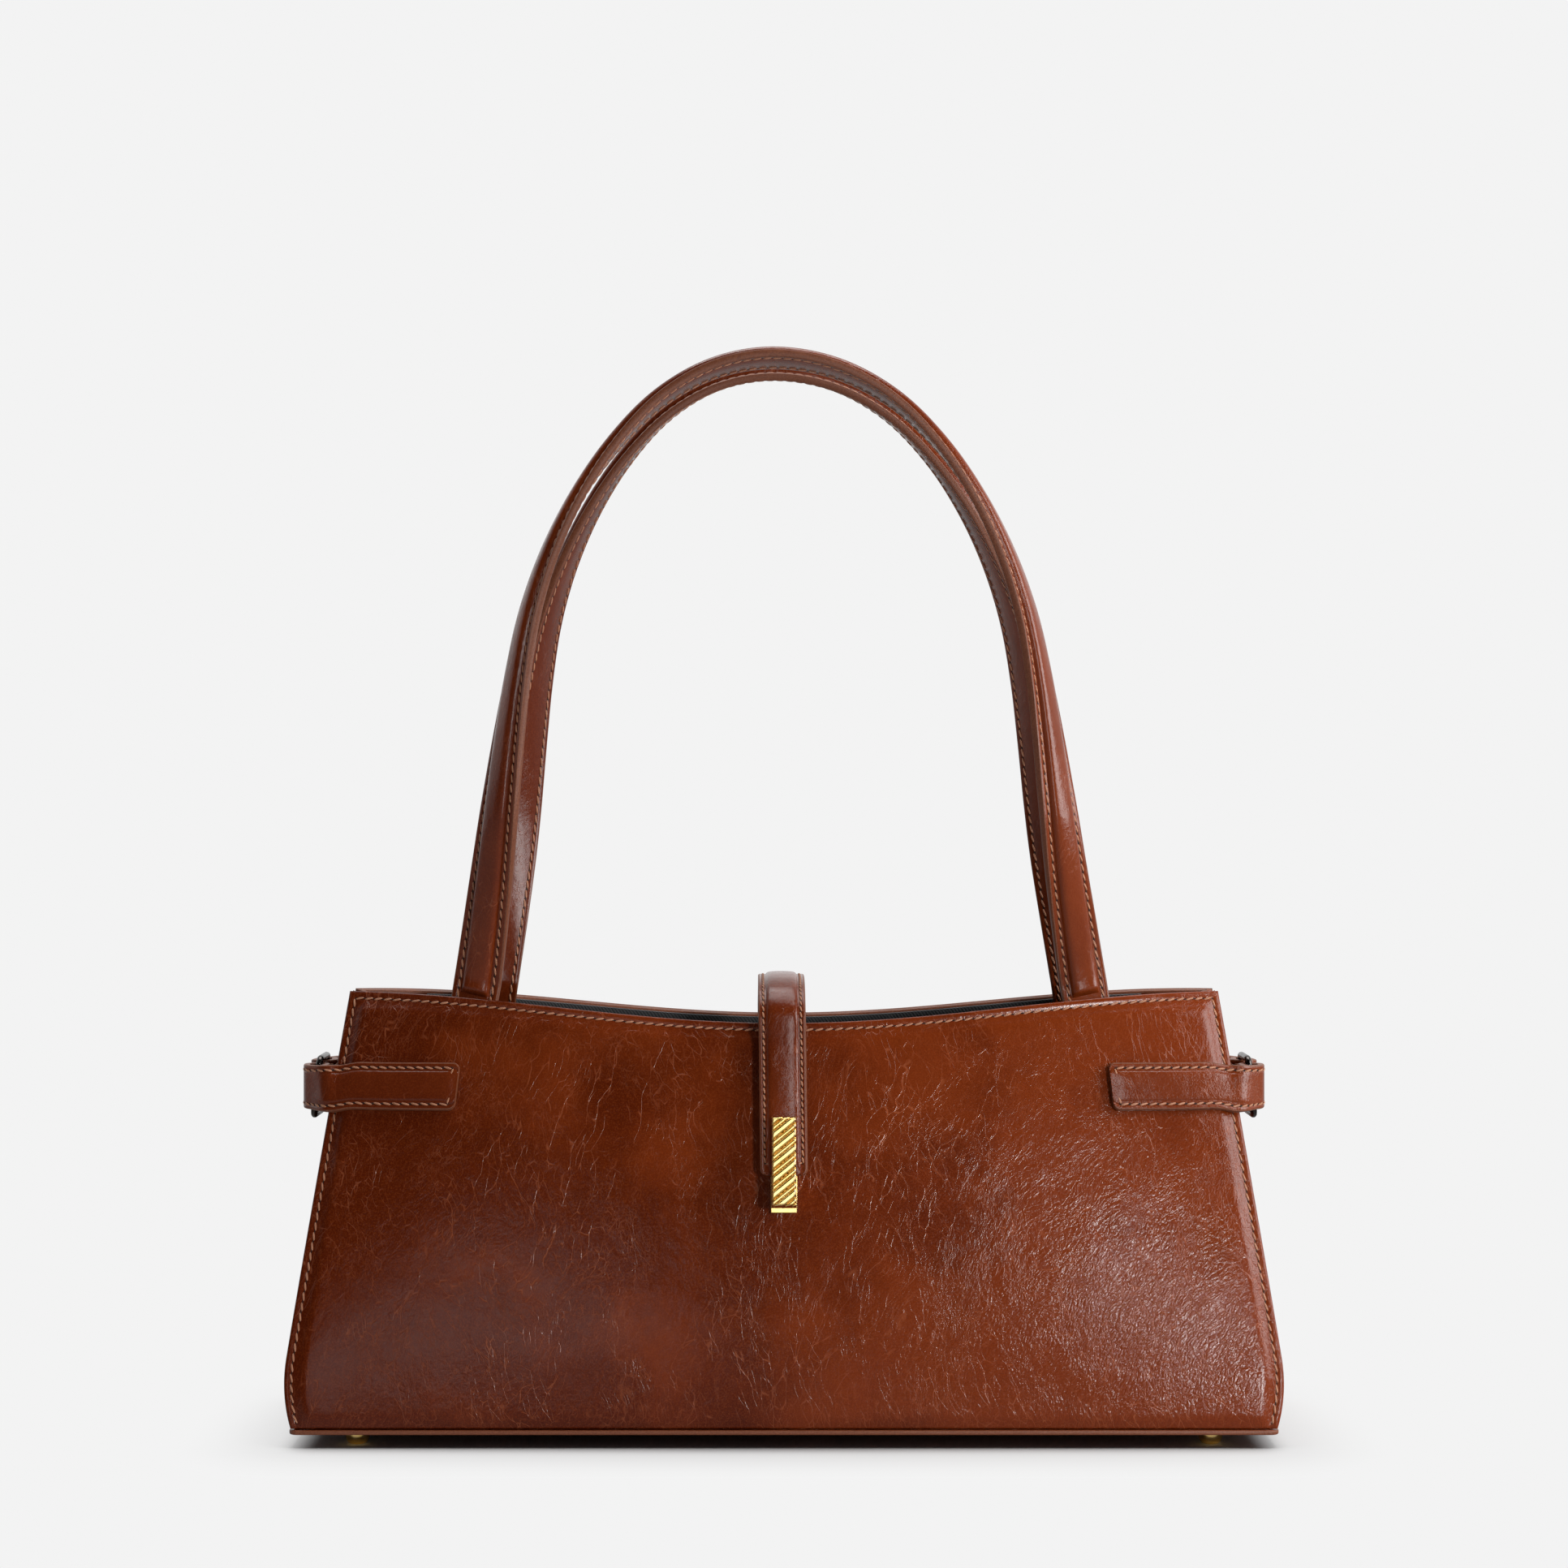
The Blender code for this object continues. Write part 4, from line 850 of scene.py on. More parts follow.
def make_finishes():
    grain = make_leather_grain()
    haze = make_polish_haze()
    twist = make_ribs("thread_twist", "Ply width", 0.30, 0.30, 1.2, 2.0, (0.45, 3.0, 0.6))
    twill = make_ribs("lining_twill", "Rib pitch", 0.6, 0.31, 0.6, 1.0, (0.8, 4.0, 0.65))
    colours = ((0.060, 0.0070, 0.0009), (0.125, 0.0188, 0.0030))
    add_leather("leather", "cognac_leather", grain, colours, 0.45, 3.2, (0.15, 0.21), 0.19)
    colours = ((0.091, 0.0126, 0.0021), (0.150, 0.0246, 0.0043))
    add_leather("strap_leather", "strap_leather", grain, colours, 0.38, 2.4, (0.17, 0.22), 0.26)
    add_finish(
        "edge",
        "edge_paint",
        grain,
        ((0.105, 0.028, 0.011), (0.175, 0.056, 0.025)),
        ("Speckle", 0.3, 0.7),
        ("Speckle", 0.3, 0.7, 0.36, 0.50),
        ("Height", 0.00006),
        {"Crease cover": 0.0, "Grain size": 0.6},
        Coat_Weight=0.08,
        Coat_Roughness=0.3,
        Specular_IOR_Level=0.3,
    )
    add_finish(
        "thread",
        "tan_thread",
        twist,
        ((0.20, 0.072, 0.032), (0.42, 0.185, 0.095)),
        ("Shade",),
        ("Height", 0.0, 1.0, 0.58, 0.48),
        ("Height", 0.00007),
        Coat_Weight=0.08,
        Coat_Roughness=0.4,
    )
    # needle holes: near black, painted as the shade inside them
    add_finish(
        "hole",
        "needle_hole_shade",
        grain,
        ((0.010, 0.004, 0.003), (0.030, 0.010, 0.006)),
        ("Speckle",),
        ("Speckle", 0.3, 0.7, 0.7, 0.9),
        Specular_IOR_Level=0.2,
    )
    for label, name, dark, light, rough in (
        ("gold", "polished_gold", (0.86, 0.59, 0.19), (0.93, 0.68, 0.27), (0.13, 0.26)),
        ("steel", "nickel_plating", (0.045, 0.040, 0.038), (0.075, 0.066, 0.062), (0.16, 0.30)),
    ):
        tree, _, colour, base = add_finish(
            label,
            name,
            haze,
            (dark, light),
            ("Haze", 0.35, 0.65),
            ("Haze", 0.3, 0.7, *rough),
            ("Hairlines", 0.00001),
            Metallic=1.0,
        )
        if label == "gold":
            # painted shade: the gold turns darker and more orange in the grooves between the ribs
            groove = add_node(tree, "ShaderNodeAttribute", attribute_name="groove_shade").outputs["Fac"]
            feed(tree, colour_mix(tree, groove, colour, GROOVE_SHADE_COLOUR), base)
    add_finish(
        "twill",
        "black_twill",
        twill,
        ((0.006, 0.006, 0.007), (0.016, 0.015, 0.016)),
        ("Shade",),
        ("Height", 0.0, 1.0, 0.92, 0.78),
        ("Height", 0.00012),
        Sheen_Weight=0.15,
        Sheen_Roughness=0.5,
    )
    add_finish(
        "felt",
        "wool_felt",
        twill,
        ((0.50, 0.45, 0.37), (0.68, 0.63, 0.54)),
        ("Shade",),
        ("Shade", 0.3, 0.7, 0.88, 0.98),
        ("Shade", 0.0002),
        {"Rib pitch": 1.4},
        Sheen_Weight=0.3,
        Sheen_Roughness=0.6,
    )
    add_finish(
        "board",
        "fibre_board",
        haze,
        ((0.16, 0.11, 0.07), (0.34, 0.26, 0.18)),
        ("Hairlines",),
        ("Haze", 0.3, 0.7, 0.8, 0.92),
        ("Hairlines", 0.00008),
        {"Stretch": 0.4},
    )


# Body

def panel_relief(across, up):
    """How far the front panel's face stands out from its border plane."""
    width = half_width(mix(PANEL_BOTTOM, CORNER_HEIGHT, up))
    height = edge_height(across) - PANEL_BOTTOM
    side_gap = (1 - abs(across)) * width
    top_gap = (1 - up) * height
    base_gap = up * height
    rise = PAD_RISE
    for gap in (side_gap, top_gap, base_gap + FIELD_START):
        rise *= ease((gap - FIELD_START) / FIELD_RUN)
    sewn = min(side_gap, top_gap)
    groove = SEAM_PULL * math.exp(-(((sewn - PANEL_SEAM) / SEAM_REACH) ** 2))
    edge = min(sewn, base_gap)
    rounding = EDGE_ROUND * max(0.0, 1 - edge / EDGE_RUN) ** 2
    return rise - groove - rounding


def panel_slack(point, across, up):
    """Soft hollows that a worn panel settles into, none of them near its sewn edges."""
    inner = ease((1 - abs(across)) * 7) * ease((1 - up) * 5) * ease(up * 7)
    wide = noise.noise(point * 19.0) + 0.5 * noise.noise(point * 41.0)
    return -SLACK * (0.5 + 0.5 * max(-1.0, min(1.0, wide * 1.3))) * inner


def panel_face(across, up):
    plain = front_surface(across, up)
    lift = panel_relief(across, up) + panel_slack(plain, across, up)
    return plain + front_outward(across, up) * lift


def edge_steps(length, spacing, low_steps, high_steps):
    """Shares from 0 to 1 of a length, with given distances near each end and even steps between."""
    low = [step / length for step in low_steps]
    high = [1 - step / length for step in reversed(high_steps)]
    count = max(1, round((high[0] - low[-1]) * length / spacing))
    return low + even_stops(low[-1], high[0], count)[1:-1] + high


def make_panels():
    half = half_width(CORNER_HEIGHT / 2)
    seam = [PANEL_SEAM + step * SEAM_REACH for step in (-1.6, -0.9, -0.4, 0.0, 0.4, 0.9)]
    sewn = [0.0, 0.0002, 0.0005, 0.0010, *seam, 0.0035, 0.0041, 0.0048, 0.0056, 0.0066, 0.0078]
    plain = [0.0, 0.0002, 0.0005, 0.0010, 0.0016, 0.0024, 0.0034]
    across = [2 * stop - 1 for stop in edge_steps(2 * half, PANEL_GRID, sewn, sewn)]
    up = edge_steps(CORNER_HEIGHT - MOUTH_SAG / 2 - PANEL_BOTTOM, PANEL_GRID, plain, sewn)
    for name, turn in (("front", Vector), ("back", to_back)):
        shape = mapped_grid(
            len(across) - 1, len(up) - 1, lambda column, row, t=turn: t(panel_face(across[column], up[row]))
        )
        nodes = [f"{name}_panel"]
        panel = add_piece(f"{name}_leather", shape, ("leather", "edge"), "bag", nodes)
        give_thickness(panel, PANEL_LEATHER, rim=EDGE)
        sew_panel(name, turn)


def sew_panel(name, turn):
    """The row of stitches up one side of a panel, along its mouth and down the other side."""
    top = CORNER_HEIGHT - PANEL_BOTTOM
    corner = 1 - PANEL_SEAM / half_width(CORNER_HEIGHT)
    places = []
    for up in even_stops(0.010, 1 - PANEL_SEAM / top, SIDE_STOPS):
        places.append((-(1 - PANEL_SEAM / half_width(mix(PANEL_BOTTOM, CORNER_HEIGHT, up))), up))
    for across in even_stops(-corner, corner, MOUTH_STOPS)[1:-1]:
        places.append((across, 1 - PANEL_SEAM / (edge_height(across) - PANEL_BOTTOM)))
    places += [(-across, up) for across, up in reversed(places[: SIDE_STOPS + 1])]
    line = [(turn(panel_face(a, u)), turn(front_outward(a, u))) for a, u in places]
    corners = (SIDE_STOPS, SIDE_STOPS + MOUTH_STOPS)
    shape = bmesh.new()
    for low, high in zip((0, *corners), (*corners, len(line) - 1)):
        sew(shape, line[low : high + 1], BODY_PITCH)
    add_stitches(f"{name}_panel_stitches", shape, "bag")


def make_gussets():
    across, up = even_stops(-1, 1, GUSSET_COLUMNS), even_stops(0, 1, GUSSET_ROWS)
    for name, side in (("left", LEFT), ("right", RIGHT)):
        turn = Vector if side == RIGHT else to_back

        def place(column, row, t=turn):
            point = gusset_point(across[column], up[row])
            arch = math.cos(math.pi * across[column] / 2)
            point.x -= GUSSET_SLACK * noise.noise(point * 45.0) * arch
            return t(point)

        shape = mapped_grid(len(across) - 1, len(up) - 1, place)
        nodes = [f"{name}_gusset"]
        gusset = add_piece(f"{name}_gusset_leather", shape, ("leather", "edge"), "bag", nodes)
        give_thickness(gusset, GUSSET_LEATHER, rim=EDGE)


def make_base():
    """The base leather, whose flange stands out under the panels."""
    half_x = half_width(PANEL_BOTTOM) + BASE_FLANGE
    half_y = BASE_DEPTH / 2 + BASE_FLANGE
    shape = bmesh.new()
    place = Matrix.Translation((0, 0, BASE_UNDERSIDE + BASE_LEATHER / 2))
    size = Matrix.Diagonal((2 * half_x, 2 * half_y, BASE_LEATHER, 1.0))
    bmesh.ops.create_cube(shape, size=1.0, matrix=place @ size)
    upright = [e for e in shape.edges if abs((e.verts[0].co - e.verts[1].co).normalized().z) > 0.9]
    bevel(shape, upright, BASE_CORNER, segments=8)
    rim = [e for e in shape.edges if len(e.link_faces) == 2 and e.calc_face_angle() > 1.0]
    bevel(shape, rim, BASE_ROUND)
    for face in shape.faces:
        face.material_index = EDGE if abs(face.normal.z) < 0.95 else LEATHER
    add_piece("base_leather", shape, ("leather", "edge"), "bag", ["base_panel"])


def make_feet():
    """Domed feet, turned in one piece with their studs."""
    face, rim, stud = FOOT_FACE_DIAMETER / 2, FOOT_DIAMETER / 2, FOOT_STUD / 2
    stud_top = BOARD_TOP + 2 * CLEARANCE + WASHER_THICKNESS
    dome = []
    for turn in even_stops(math.pi / 2, 0, 8):
        dome.append((mix(face, rim, math.sin(turn)), (FOOT_HEIGHT - FOOT_RIM) * (1 - math.cos(turn))))
    collar = [(rim - inward, FOOT_HEIGHT - down) for inward, down in FOOT_EDGE]
    profile = [(0.0, stud_top), (stud, stud_top), (stud, FOOT_HEIGHT), *collar, *dome, (0.0, 0.0)]
    names = ("front_left", "front_right", "back_left", "back_right")
    x_place = half_width(PANEL_BOTTOM) - FOOT_INSET_X
    y_place = BASE_DEPTH / 2 - FOOT_INSET_Y
    places = [(x * x_place, y * y_place) for y in (FRONT, BACK) for x in (LEFT, RIGHT)]
    for name, (x, y) in zip(names, places):
        shape = bmesh.new()
        points = [shape.verts.new((radius, 0.0, height)) for radius, height in profile]
        edges = [shape.edges.new(pair) for pair in zip(points, points[1:])]
        bmesh.ops.spin(
            shape,
            geom=points + edges,
            axis=(0, 0, 1),
            cent=(0, 0, 0),
            steps=FOOT_SIDES,
            angle=math.tau,
            use_merge=True,
        )
        bmesh.ops.remove_doubles(shape, verts=shape.verts, dist=WELD)
        bmesh.ops.recalc_face_normals(shape, faces=shape.faces)
        bmesh.ops.translate(shape, verts=shape.verts, vec=(x, y, 0))
        add_piece(f"{name}_foot", shape, ("gold",), "bag", [f"foot_{name}"], smooth_angle=30)


def lining_section(up):
    """One level of the lining's outer face, from the front left round the right side and back."""
    corner = mix(LINING_CORNER_LOW, LINING_CORNER_HIGH, up)
    drop = LINING_DROP / (CORNER_HEIGHT - PANEL_BOTTOM)
    low = (LINING_BOTTOM - LINING_FABRIC - PANEL_BOTTOM) / (CORNER_HEIGHT - PANEL_BOTTOM)
    level = mix(low, 1 - drop, up)
    inward = PANEL_LEATHER - PAD_RISE + PADDING_THICKNESS + 2 * CLEARANCE
    front = [front_point(a, level, inward) for a in even_stops(-corner, corner, LINING_COLUMNS)]
    bottom_corner = front[-1]
    fold = gusset_point(0.0, level)
    inner_x = fold.x - GUSSET_LEATHER - 2 * CLEARANCE
    side = []
    for a in even_stops(-1, 1, LINING_SIDE_COLUMNS)[1:-1]:
        arch = math.cos(math.pi * a / 2)
        x = mix(bottom_corner.x, inner_x, arch)
        height = mix(bottom_corner.z, min(bottom_corner.z, fold.z), arch)
        side.append(Vector((x, -a * bottom_corner.y, height)))
    half = front + side
    return half + [to_back(point) for point in half]


def make_lining():
    """The black inner bag, open at the top, with soft folds low down."""
    levels = [lining_section(up) for up in even_stops(0, 1, LINING_ROWS)]
    for point in levels[0]:
        point.z = LINING_BOTTOM - LINING_FABRIC
    count = len(levels[0])

    def place(column, row):
        point = levels[row][column % count].copy()
        low = ease(row / 6) * ease((LINING_ROWS - row) / 14)
        fold = noise.noise(Vector((point.x * 30, point.y * 30, point.z * 14)))
        away = Vector((point.x * 0.15, point.y, 0)).normalized()
        return point - away * (LINING_SLACK * max(0.0, fold) * low)

    shape = mapped_grid(count, LINING_ROWS, place)
    bmesh.ops.remove_doubles(shape, verts=shape.verts, dist=WELD)
    floor = [e for e in shape.edges if e.is_boundary and e.verts[0].co.z < LINING_BOTTOM + 0.001]
    bmesh.ops.holes_fill(shape, edges=floor, sides=0)
    bmesh.ops.recalc_face_normals(shape, faces=shape.faces)
    if max(shape.faces, key=lambda face: -face.calc_center_median().z).normal.z > 0:
        bmesh.ops.reverse_faces(shape, faces=shape.faces)
    lining = add_piece("black_lining", shape, ("twill",), "bag", ["lining"])
    give_thickness(lining, LINING_FABRIC, even=False)


def make_pads():
    """Felt behind each panel, thinner towards its edges."""
    half = half_width(CORNER_HEIGHT / 2)
    margin = (BORDER + BORDER_SLOPE + PADDING_MARGIN) / half
    lowest = PADDING_MARGIN / CORNER_HEIGHT
    top = up_at(CORNER_HEIGHT - MOUTH_SAG - HANDLE_END_DEPTH)
    across, up = even_stops(margin - 1, 1 - margin, PAD_COLUMNS), even_stops(lowest, top, PAD_ROWS)
    count = 2 * (PAD_COLUMNS + 1)
    inner_face = PANEL_LEATHER + CLEARANCE - PAD_RISE
    middle = inner_face + PADDING_THICKNESS / 2
    for name, turn in (("front", Vector), ("back", to_back)):

        def place(column, row, t=turn):
            near = column <= PAD_COLUMNS
            i = column if near else count - 1 - column
            edge = min(i, PAD_COLUMNS - i) / 4, min(row, PAD_ROWS - row) / 3
            plump = math.sqrt(ease(min(1.0, edge[0] + 0.15)) * ease(min(1.0, edge[1] + 0.15)))
            half_thick = (PADDING_THICKNESS / 2) * max(0.25, plump)
            out = half_thick if near else -half_thick
            return t(front_point(across[i], up[row], middle - out))

        shape = mapped_grid(count, PAD_ROWS, lambda column, row, p=place: p(column % count, row))
        close_tube(shape)
        nodes = [f"{name}_padding"]
        pad = add_piece(f"{name}_felt_pad", shape, ("felt",), "bag", nodes)


# Handles

def handle_layers():
    """How deep the handle ends' middle lies behind the panel's border plane."""
    lining_face = PANEL_LEATHER - PAD_RISE + PADDING_THICKNESS + 2 * CLEARANCE + LINING_FABRIC
    return lining_face + CLEARANCE + HANDLE_FLANGE / 2


def handle_foot(span):
    """Where a right leg crosses the hinge line: its place, across and outward directions."""
    across = across_at(span / 2, 1.0)
    along_x, along_z = front_tangents(across, 1.0)
    outward = along_x.cross(along_z).normalized()
    place = front_point(across, 1.0, handle_layers())
    rise = HANDLE_LIFT + edge_height(across) - place.z
    return place + along_z * (rise / along_z.z), along_x, along_z, outward


def hinge_line(span):
    """(y, z) of a front handle's hinge."""
    place, along_x, _, outward = handle_foot(span)
    nearest = place - along_x * (HANDLE_WIDTH / 2) + outward * (HANDLE_FLANGE / 2)
    return nearest.y - CLEARANCE / 2, place.z


def arch_stations(span, side):
    """Stations of one leg of the front handle, drawn on the right, from the hinge line to the top."""
    foot, _, _, outward = handle_foot(span)
    start = foot.z + FOLD_GAP / 2
    points = []
    for left_share, right_share, rise in ARCH:
        share = right_share if side == RIGHT else left_share
        points.append(Vector((share * span / 2, 0, start + rise * HANDLE_RISE)))
    beyond = Vector((-points[-2].x, 0, points[-2].z))
    path = smooth_path([*points, beyond], ARCH_STEPS)[:-ARCH_STEPS]
    lengths = lengths_along(path)
    first_twist = math.atan2(-outward.x, -outward.y)
    stations = []
    for i, point in enumerate(path):
        share = lengths[i] / lengths[-1]
        rise = (point.z - start) / HANDLE_RISE
        along = direction_at(path, i)
        if i == len(path) - 1:
            along = Vector((-1, 0, 0))
        away = Vector((along.z, 0, -along.x))
        twist = mix(abs(first_twist), HANDLE_TWIST, 1 - (1 - share) ** TWIST_EASE)
        normal = Vector((0, -1, 0)) * math.cos(twist) + away * math.sin(twist)
        across = away * math.cos(twist) + Vector((0, 1, 0)) * math.sin(twist)
        y = mix(foot.y, -HANDLE_OFFSET, ease(rise / HANDLE_GATHER))
        stations.append((Vector((point.x, y, point.z)), across, normal, rise, 1.0))
    return stations


def handle_path(span, shift, sway):
    """Stations of a whole front handle, from its left leg over to its right one."""
    whole = []
    for side, leg in ((LEFT, arch_stations(span, LEFT)[:-1]), (RIGHT, arch_stations(span, RIGHT)[::-1])):
        for place, across, normal, rise, pad in flipped(leg, Vector((side, 1, 1))):
            move = Vector((shift + sway * rise**2, 0, 0))
            whole.append((place + move, across, normal, 0.0, pad))
    return whole


def end_depths(deepest):
    """Depths of a sewn-in end's stations, closer together round its corners."""
    corners = [deepest - step for step in (*CORNER_STEPS, TAB_CORNER)]
    return corners + [deepest * share for share in END_SHARES]


def handle_end_stations(span, side):
    """Stations of one sewn-in end, from its foot inside the bag up to the panel's edge."""
    along_across = across_at(span / 2, 1.0) * side
    top = edge_height(along_across)
    start = handle_foot(span)[0].z + FOLD_GAP / 2
    stations = []
    for depth in end_depths(HANDLE_END_DEPTH):
        level = up_at(top - depth, along_across)
        x_dir, _ = front_tangents(along_across, level)
        out = front_outward(along_across, level)
        place = front_point(along_across, level, handle_layers())
        place.x = side * (span / 2 + (start - place.z) * math.tan(HANDLE_FOOT_LEAN))
        level_out = x_dir * (side * math.cos(HANDLE_FOOT_LEAN))
        across = (level_out + out.cross(x_dir) * math.sin(HANDLE_FOOT_LEAN)).normalized()
        inset = rounded_end(HANDLE_END_DEPTH - depth, TAB_CORNER)
        stations.append((place, across, out, inset, 0.0))
    return stations


def pad_end(rise):
    """Share of a pad's thickness at a height over its blunt end."""
    share = max(0.0, min(1.0, rise / PAD_END_RUN))
    return math.sqrt(share * (2 - share))


def handle_stations(span, shift, sway):
    """Stations of a front handle from one sewn-in end to the other."""
    move = Vector((shift, 0, 0))
    left = [(p + move, *rest) for p, *rest in handle_end_stations(span, LEFT)]
    right = [(p + move, *rest) for p, *rest in handle_end_stations(span, RIGHT)]
    return left + handle_path(span, shift, sway) + right[::-1]


def make_handles():
    section = strap_section(HANDLE_WIDTH, HANDLE_FLANGE, HANDLE_PAD, HANDLE_PAD_WIDTH, HANDLE_SEAM)
    line_place = HANDLE_WIDTH / 2 - HANDLE_SEAM
    sunk = HANDLE_FLANGE / 2 - SEAM_PULL * 0.5
    for name, span, shift, sway, face in (
        ("front", FRONT_HANDLE_SPAN, FRONT_HANDLE_SHIFT, FRONT_HANDLE_SWAY, FRONT),
        ("back", BACK_HANDLE_SPAN, BACK_HANDLE_SHIFT, BACK_HANDLE_SWAY, BACK),
    ):
        y, z = hinge_line(span)
        stations = flipped(handle_stations(span, shift, sway), Vector((1, -face, 1)))
        stations = refined(
            stations,
            lambda place, z=z: HANDLE_FOLD_STEP if abs(place.z - z) < HANDLE_FOLD_REACH else HANDLE_STEP,
        )
        start = edge_height(across_at(span / 2, 1.0)) + PAD_END_GAP
        stations = [(p, a, n, i, pad_end(p.z - start)) for p, a, n, i, _ in stations]
        nodes = [f"{name}_handle", f"{name}_handle_end_left", f"{name}_handle_end_right"]
        handle = strap(f"{name}_handle_strap", stations, section, HANDLE_WIDTH, HANDLE_FLANGE, None, nodes)
        shape = bmesh.new()
        sewn = [station for station in stations if station[3] == 0.0]
        for across in (-line_place, line_place):
            for out in (sunk, -sunk):
                sew(shape, strap_line(sewn, across, HANDLE_WIDTH, out), BODY_PITCH)
        stitches = add_stitches(f"{name}_handle_stitches", shape, None)
        for piece in (handle, stitches):
            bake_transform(piece)


# Closure tab and clasp

def tab_depth():
    """How far the tab's middle stands out from the front panel's border plane."""
    return PAD_RISE + TAB_STANDOFF + TAB_FLANGE / 2


def anchor_depth():
    return PAD_RISE + CLEARANCE + TAB_FLANGE / 2


def tab_hinge():
    """(y, z) of the line that the tab folds back on."""
    top = edge_height(0)
    along_z = front_tangents(0, 1.0)[1]
    place = front_point(0, 1.0, -anchor_depth())
    place = place + along_z * (TAB_LIFT + top - place.z)
    return -place.y + TAB_FLANGE / 2 + CLEARANCE / 2, place.z


def tab_path():
    """The tab's centreline, from its hinge over the mouth and down the front."""
    hinge_y, hinge_z = tab_hinge()
    top = edge_height(0)
    start_y = hinge_y - TAB_FLANGE / 2 - CLEARANCE / 2
    front_edge = front_point(0, 1.0, -tab_depth())
    reach = (start_y - front_edge.y) / 2
    middle = start_y - reach
    peak = top + TAB_ARCH
    points = [Vector((0, start_y, hinge_z + FOLD_GAP / 2))]
    points += [Vector((0, middle + reach * share, peak - drop)) for share, drop in TAB_BEND]
    out, rise = TAB_BEND_END
    points.append(Vector((0, front_edge.y - out, top + rise)))
    for share in (0.17, 0.44, 0.71, 1.0):
        points.append(front_point(0, up_at(mix(top, TAB_END_HEIGHT, share)), -tab_depth()))
    path = smooth_path(points, 6)
    for i, point in enumerate(path):
        point.x = -TAB_DRIFT * (1 - i / (len(path) - 1))
    return path


def tab_stations():
    """Stations from the sewn end behind the bag, over the mouth and down to the loose end."""
    sideways = Vector((1, 0, 0))
    top = edge_height(0)
    stations = []
    for depth in end_depths(TAB_ANCHOR_DEPTH):
        level = up_at(top - depth)
        out = to_back(front_outward(0, level))
        place = to_back(front_point(0, level, -anchor_depth())) - Vector((TAB_DRIFT, 0, 0))
        stations.append((place, sideways, out, rounded_end(TAB_ANCHOR_DEPTH - depth, TAB_CORNER), 0.0))
    path = tab_path()
    end = path[-1]
    last = direction_at(path, len(path) - 1)
    path = [p for p in path if (p - end).length > TAB_CORNER]
    path += [end - last * step for step in (TAB_CORNER, *CORNER_STEPS[::-1])]
    for i, point in enumerate(path):
        along = direction_at(path, i) if i else Vector((0, 0, 1))
        outward = along.cross(sideways).normalized()
        reach = min((point - end).length, (point - path[0]).length)
        inset = rounded_end((point - end).length, TAB_CORNER)
        stations.append((point, sideways, outward, inset, ease(reach / TAB_PAD_RUN)))
    return stations


def make_tab():
    section = strap_section(TAB_WIDTH, TAB_FLANGE, TAB_PAD, TAB_PAD_WIDTH, TAB_SEAM)
    y, z = tab_hinge()
    hinge = Vector((0, y, z))
    stations = refined(
        tab_stations(),
        lambda place: TAB_FOLD_STEP if (place - hinge).length < TAB_FOLD_REACH else TAB_STEP,
    )
    nodes = ["closure_tab", "tab_anchor"]
    tab = strap("tab_strap", stations, section, TAB_WIDTH, TAB_FLANGE, None, nodes)
    line_place = TAB_WIDTH / 2 - TAB_SEAM
    sunk = TAB_FLANGE / 2 - SEAM_PULL * 0.5
    sewn = [station for station in stations if station[3] == 0.0][:-1]
    shape = bmesh.new()
    for out in (sunk, -sunk):
        for across in (-line_place, line_place):
            sew(shape, strap_line(sewn, across, TAB_WIDTH, out), TAB_PITCH, width=TAB_THREAD)
        for station in (sewn[0], sewn[-1]):
            sew(shape, end_row(station, line_place, out), TAB_PITCH, width=TAB_THREAD)
    stitches = add_stitches("tab_stitches", shape, None)
    for piece in (tab, stitches):
        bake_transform(piece)


def clasp_frame():
    """Middle of the bar's back face, and the lean of the panel behind it."""
    level = up_at(TAB_END_HEIGHT - BAR_OVERHANG + BAR_LENGTH / 2)
    along_z = front_tangents(0, level)[1]
    stand = PAD_RISE + TAB_STANDOFF + TAB_FLANGE + TAB_PAD + CLEARANCE
    return front_point(0, level, -stand), math.atan2(along_z.y, along_z.z)


def bar_rib(x, z):
    """Height of the bar's ribs at a place on its face, as a share of the broad one's."""
    phase = (z - x * math.tan(BAR_RIB_SLOPE)) / BAR_RIB_PITCH % 1.0
    heights = []
    for middle, half_run, height in BAR_RIBS:
        heights.append(height * math.sqrt(max(0.0, 1 - ((phase - middle) / half_run) ** 4)))
    return max(heights)


def bar_surface(x, z):
    """How far the ribbed front of the bar stands out at a place on its face."""
    half, end = BAR_WIDTH / 2, BAR_LENGTH / 2
    across = min(1.0, abs(x) / half)
    crown = math.sqrt(max(0.0, 1 - across**BAR_CROWN))
    to_end = max(0.0, end - abs(z))
    nose = math.sqrt(max(0.0, 1 - max(0.0, 1 - to_end / BAR_NOSE) ** 2))
    rib = BAR_RIB_RISE * crown * nose * bar_rib(x, z)
    return (BAR_THICKNESS - BAR_RIB_RISE) * (0.45 + 0.55 * crown * nose) + rib


def bevelled_box(shape, size, centre, radius):
    start = set(shape.faces)
    place = Matrix.Translation(centre) @ Matrix.Diagonal((*size, 1.0))
    bmesh.ops.create_cube(shape, size=1.0, matrix=place)
    edges = {edge for face in shape.faces if face not in start for edge in face.edges}
    bevel(shape, list(edges), radius)


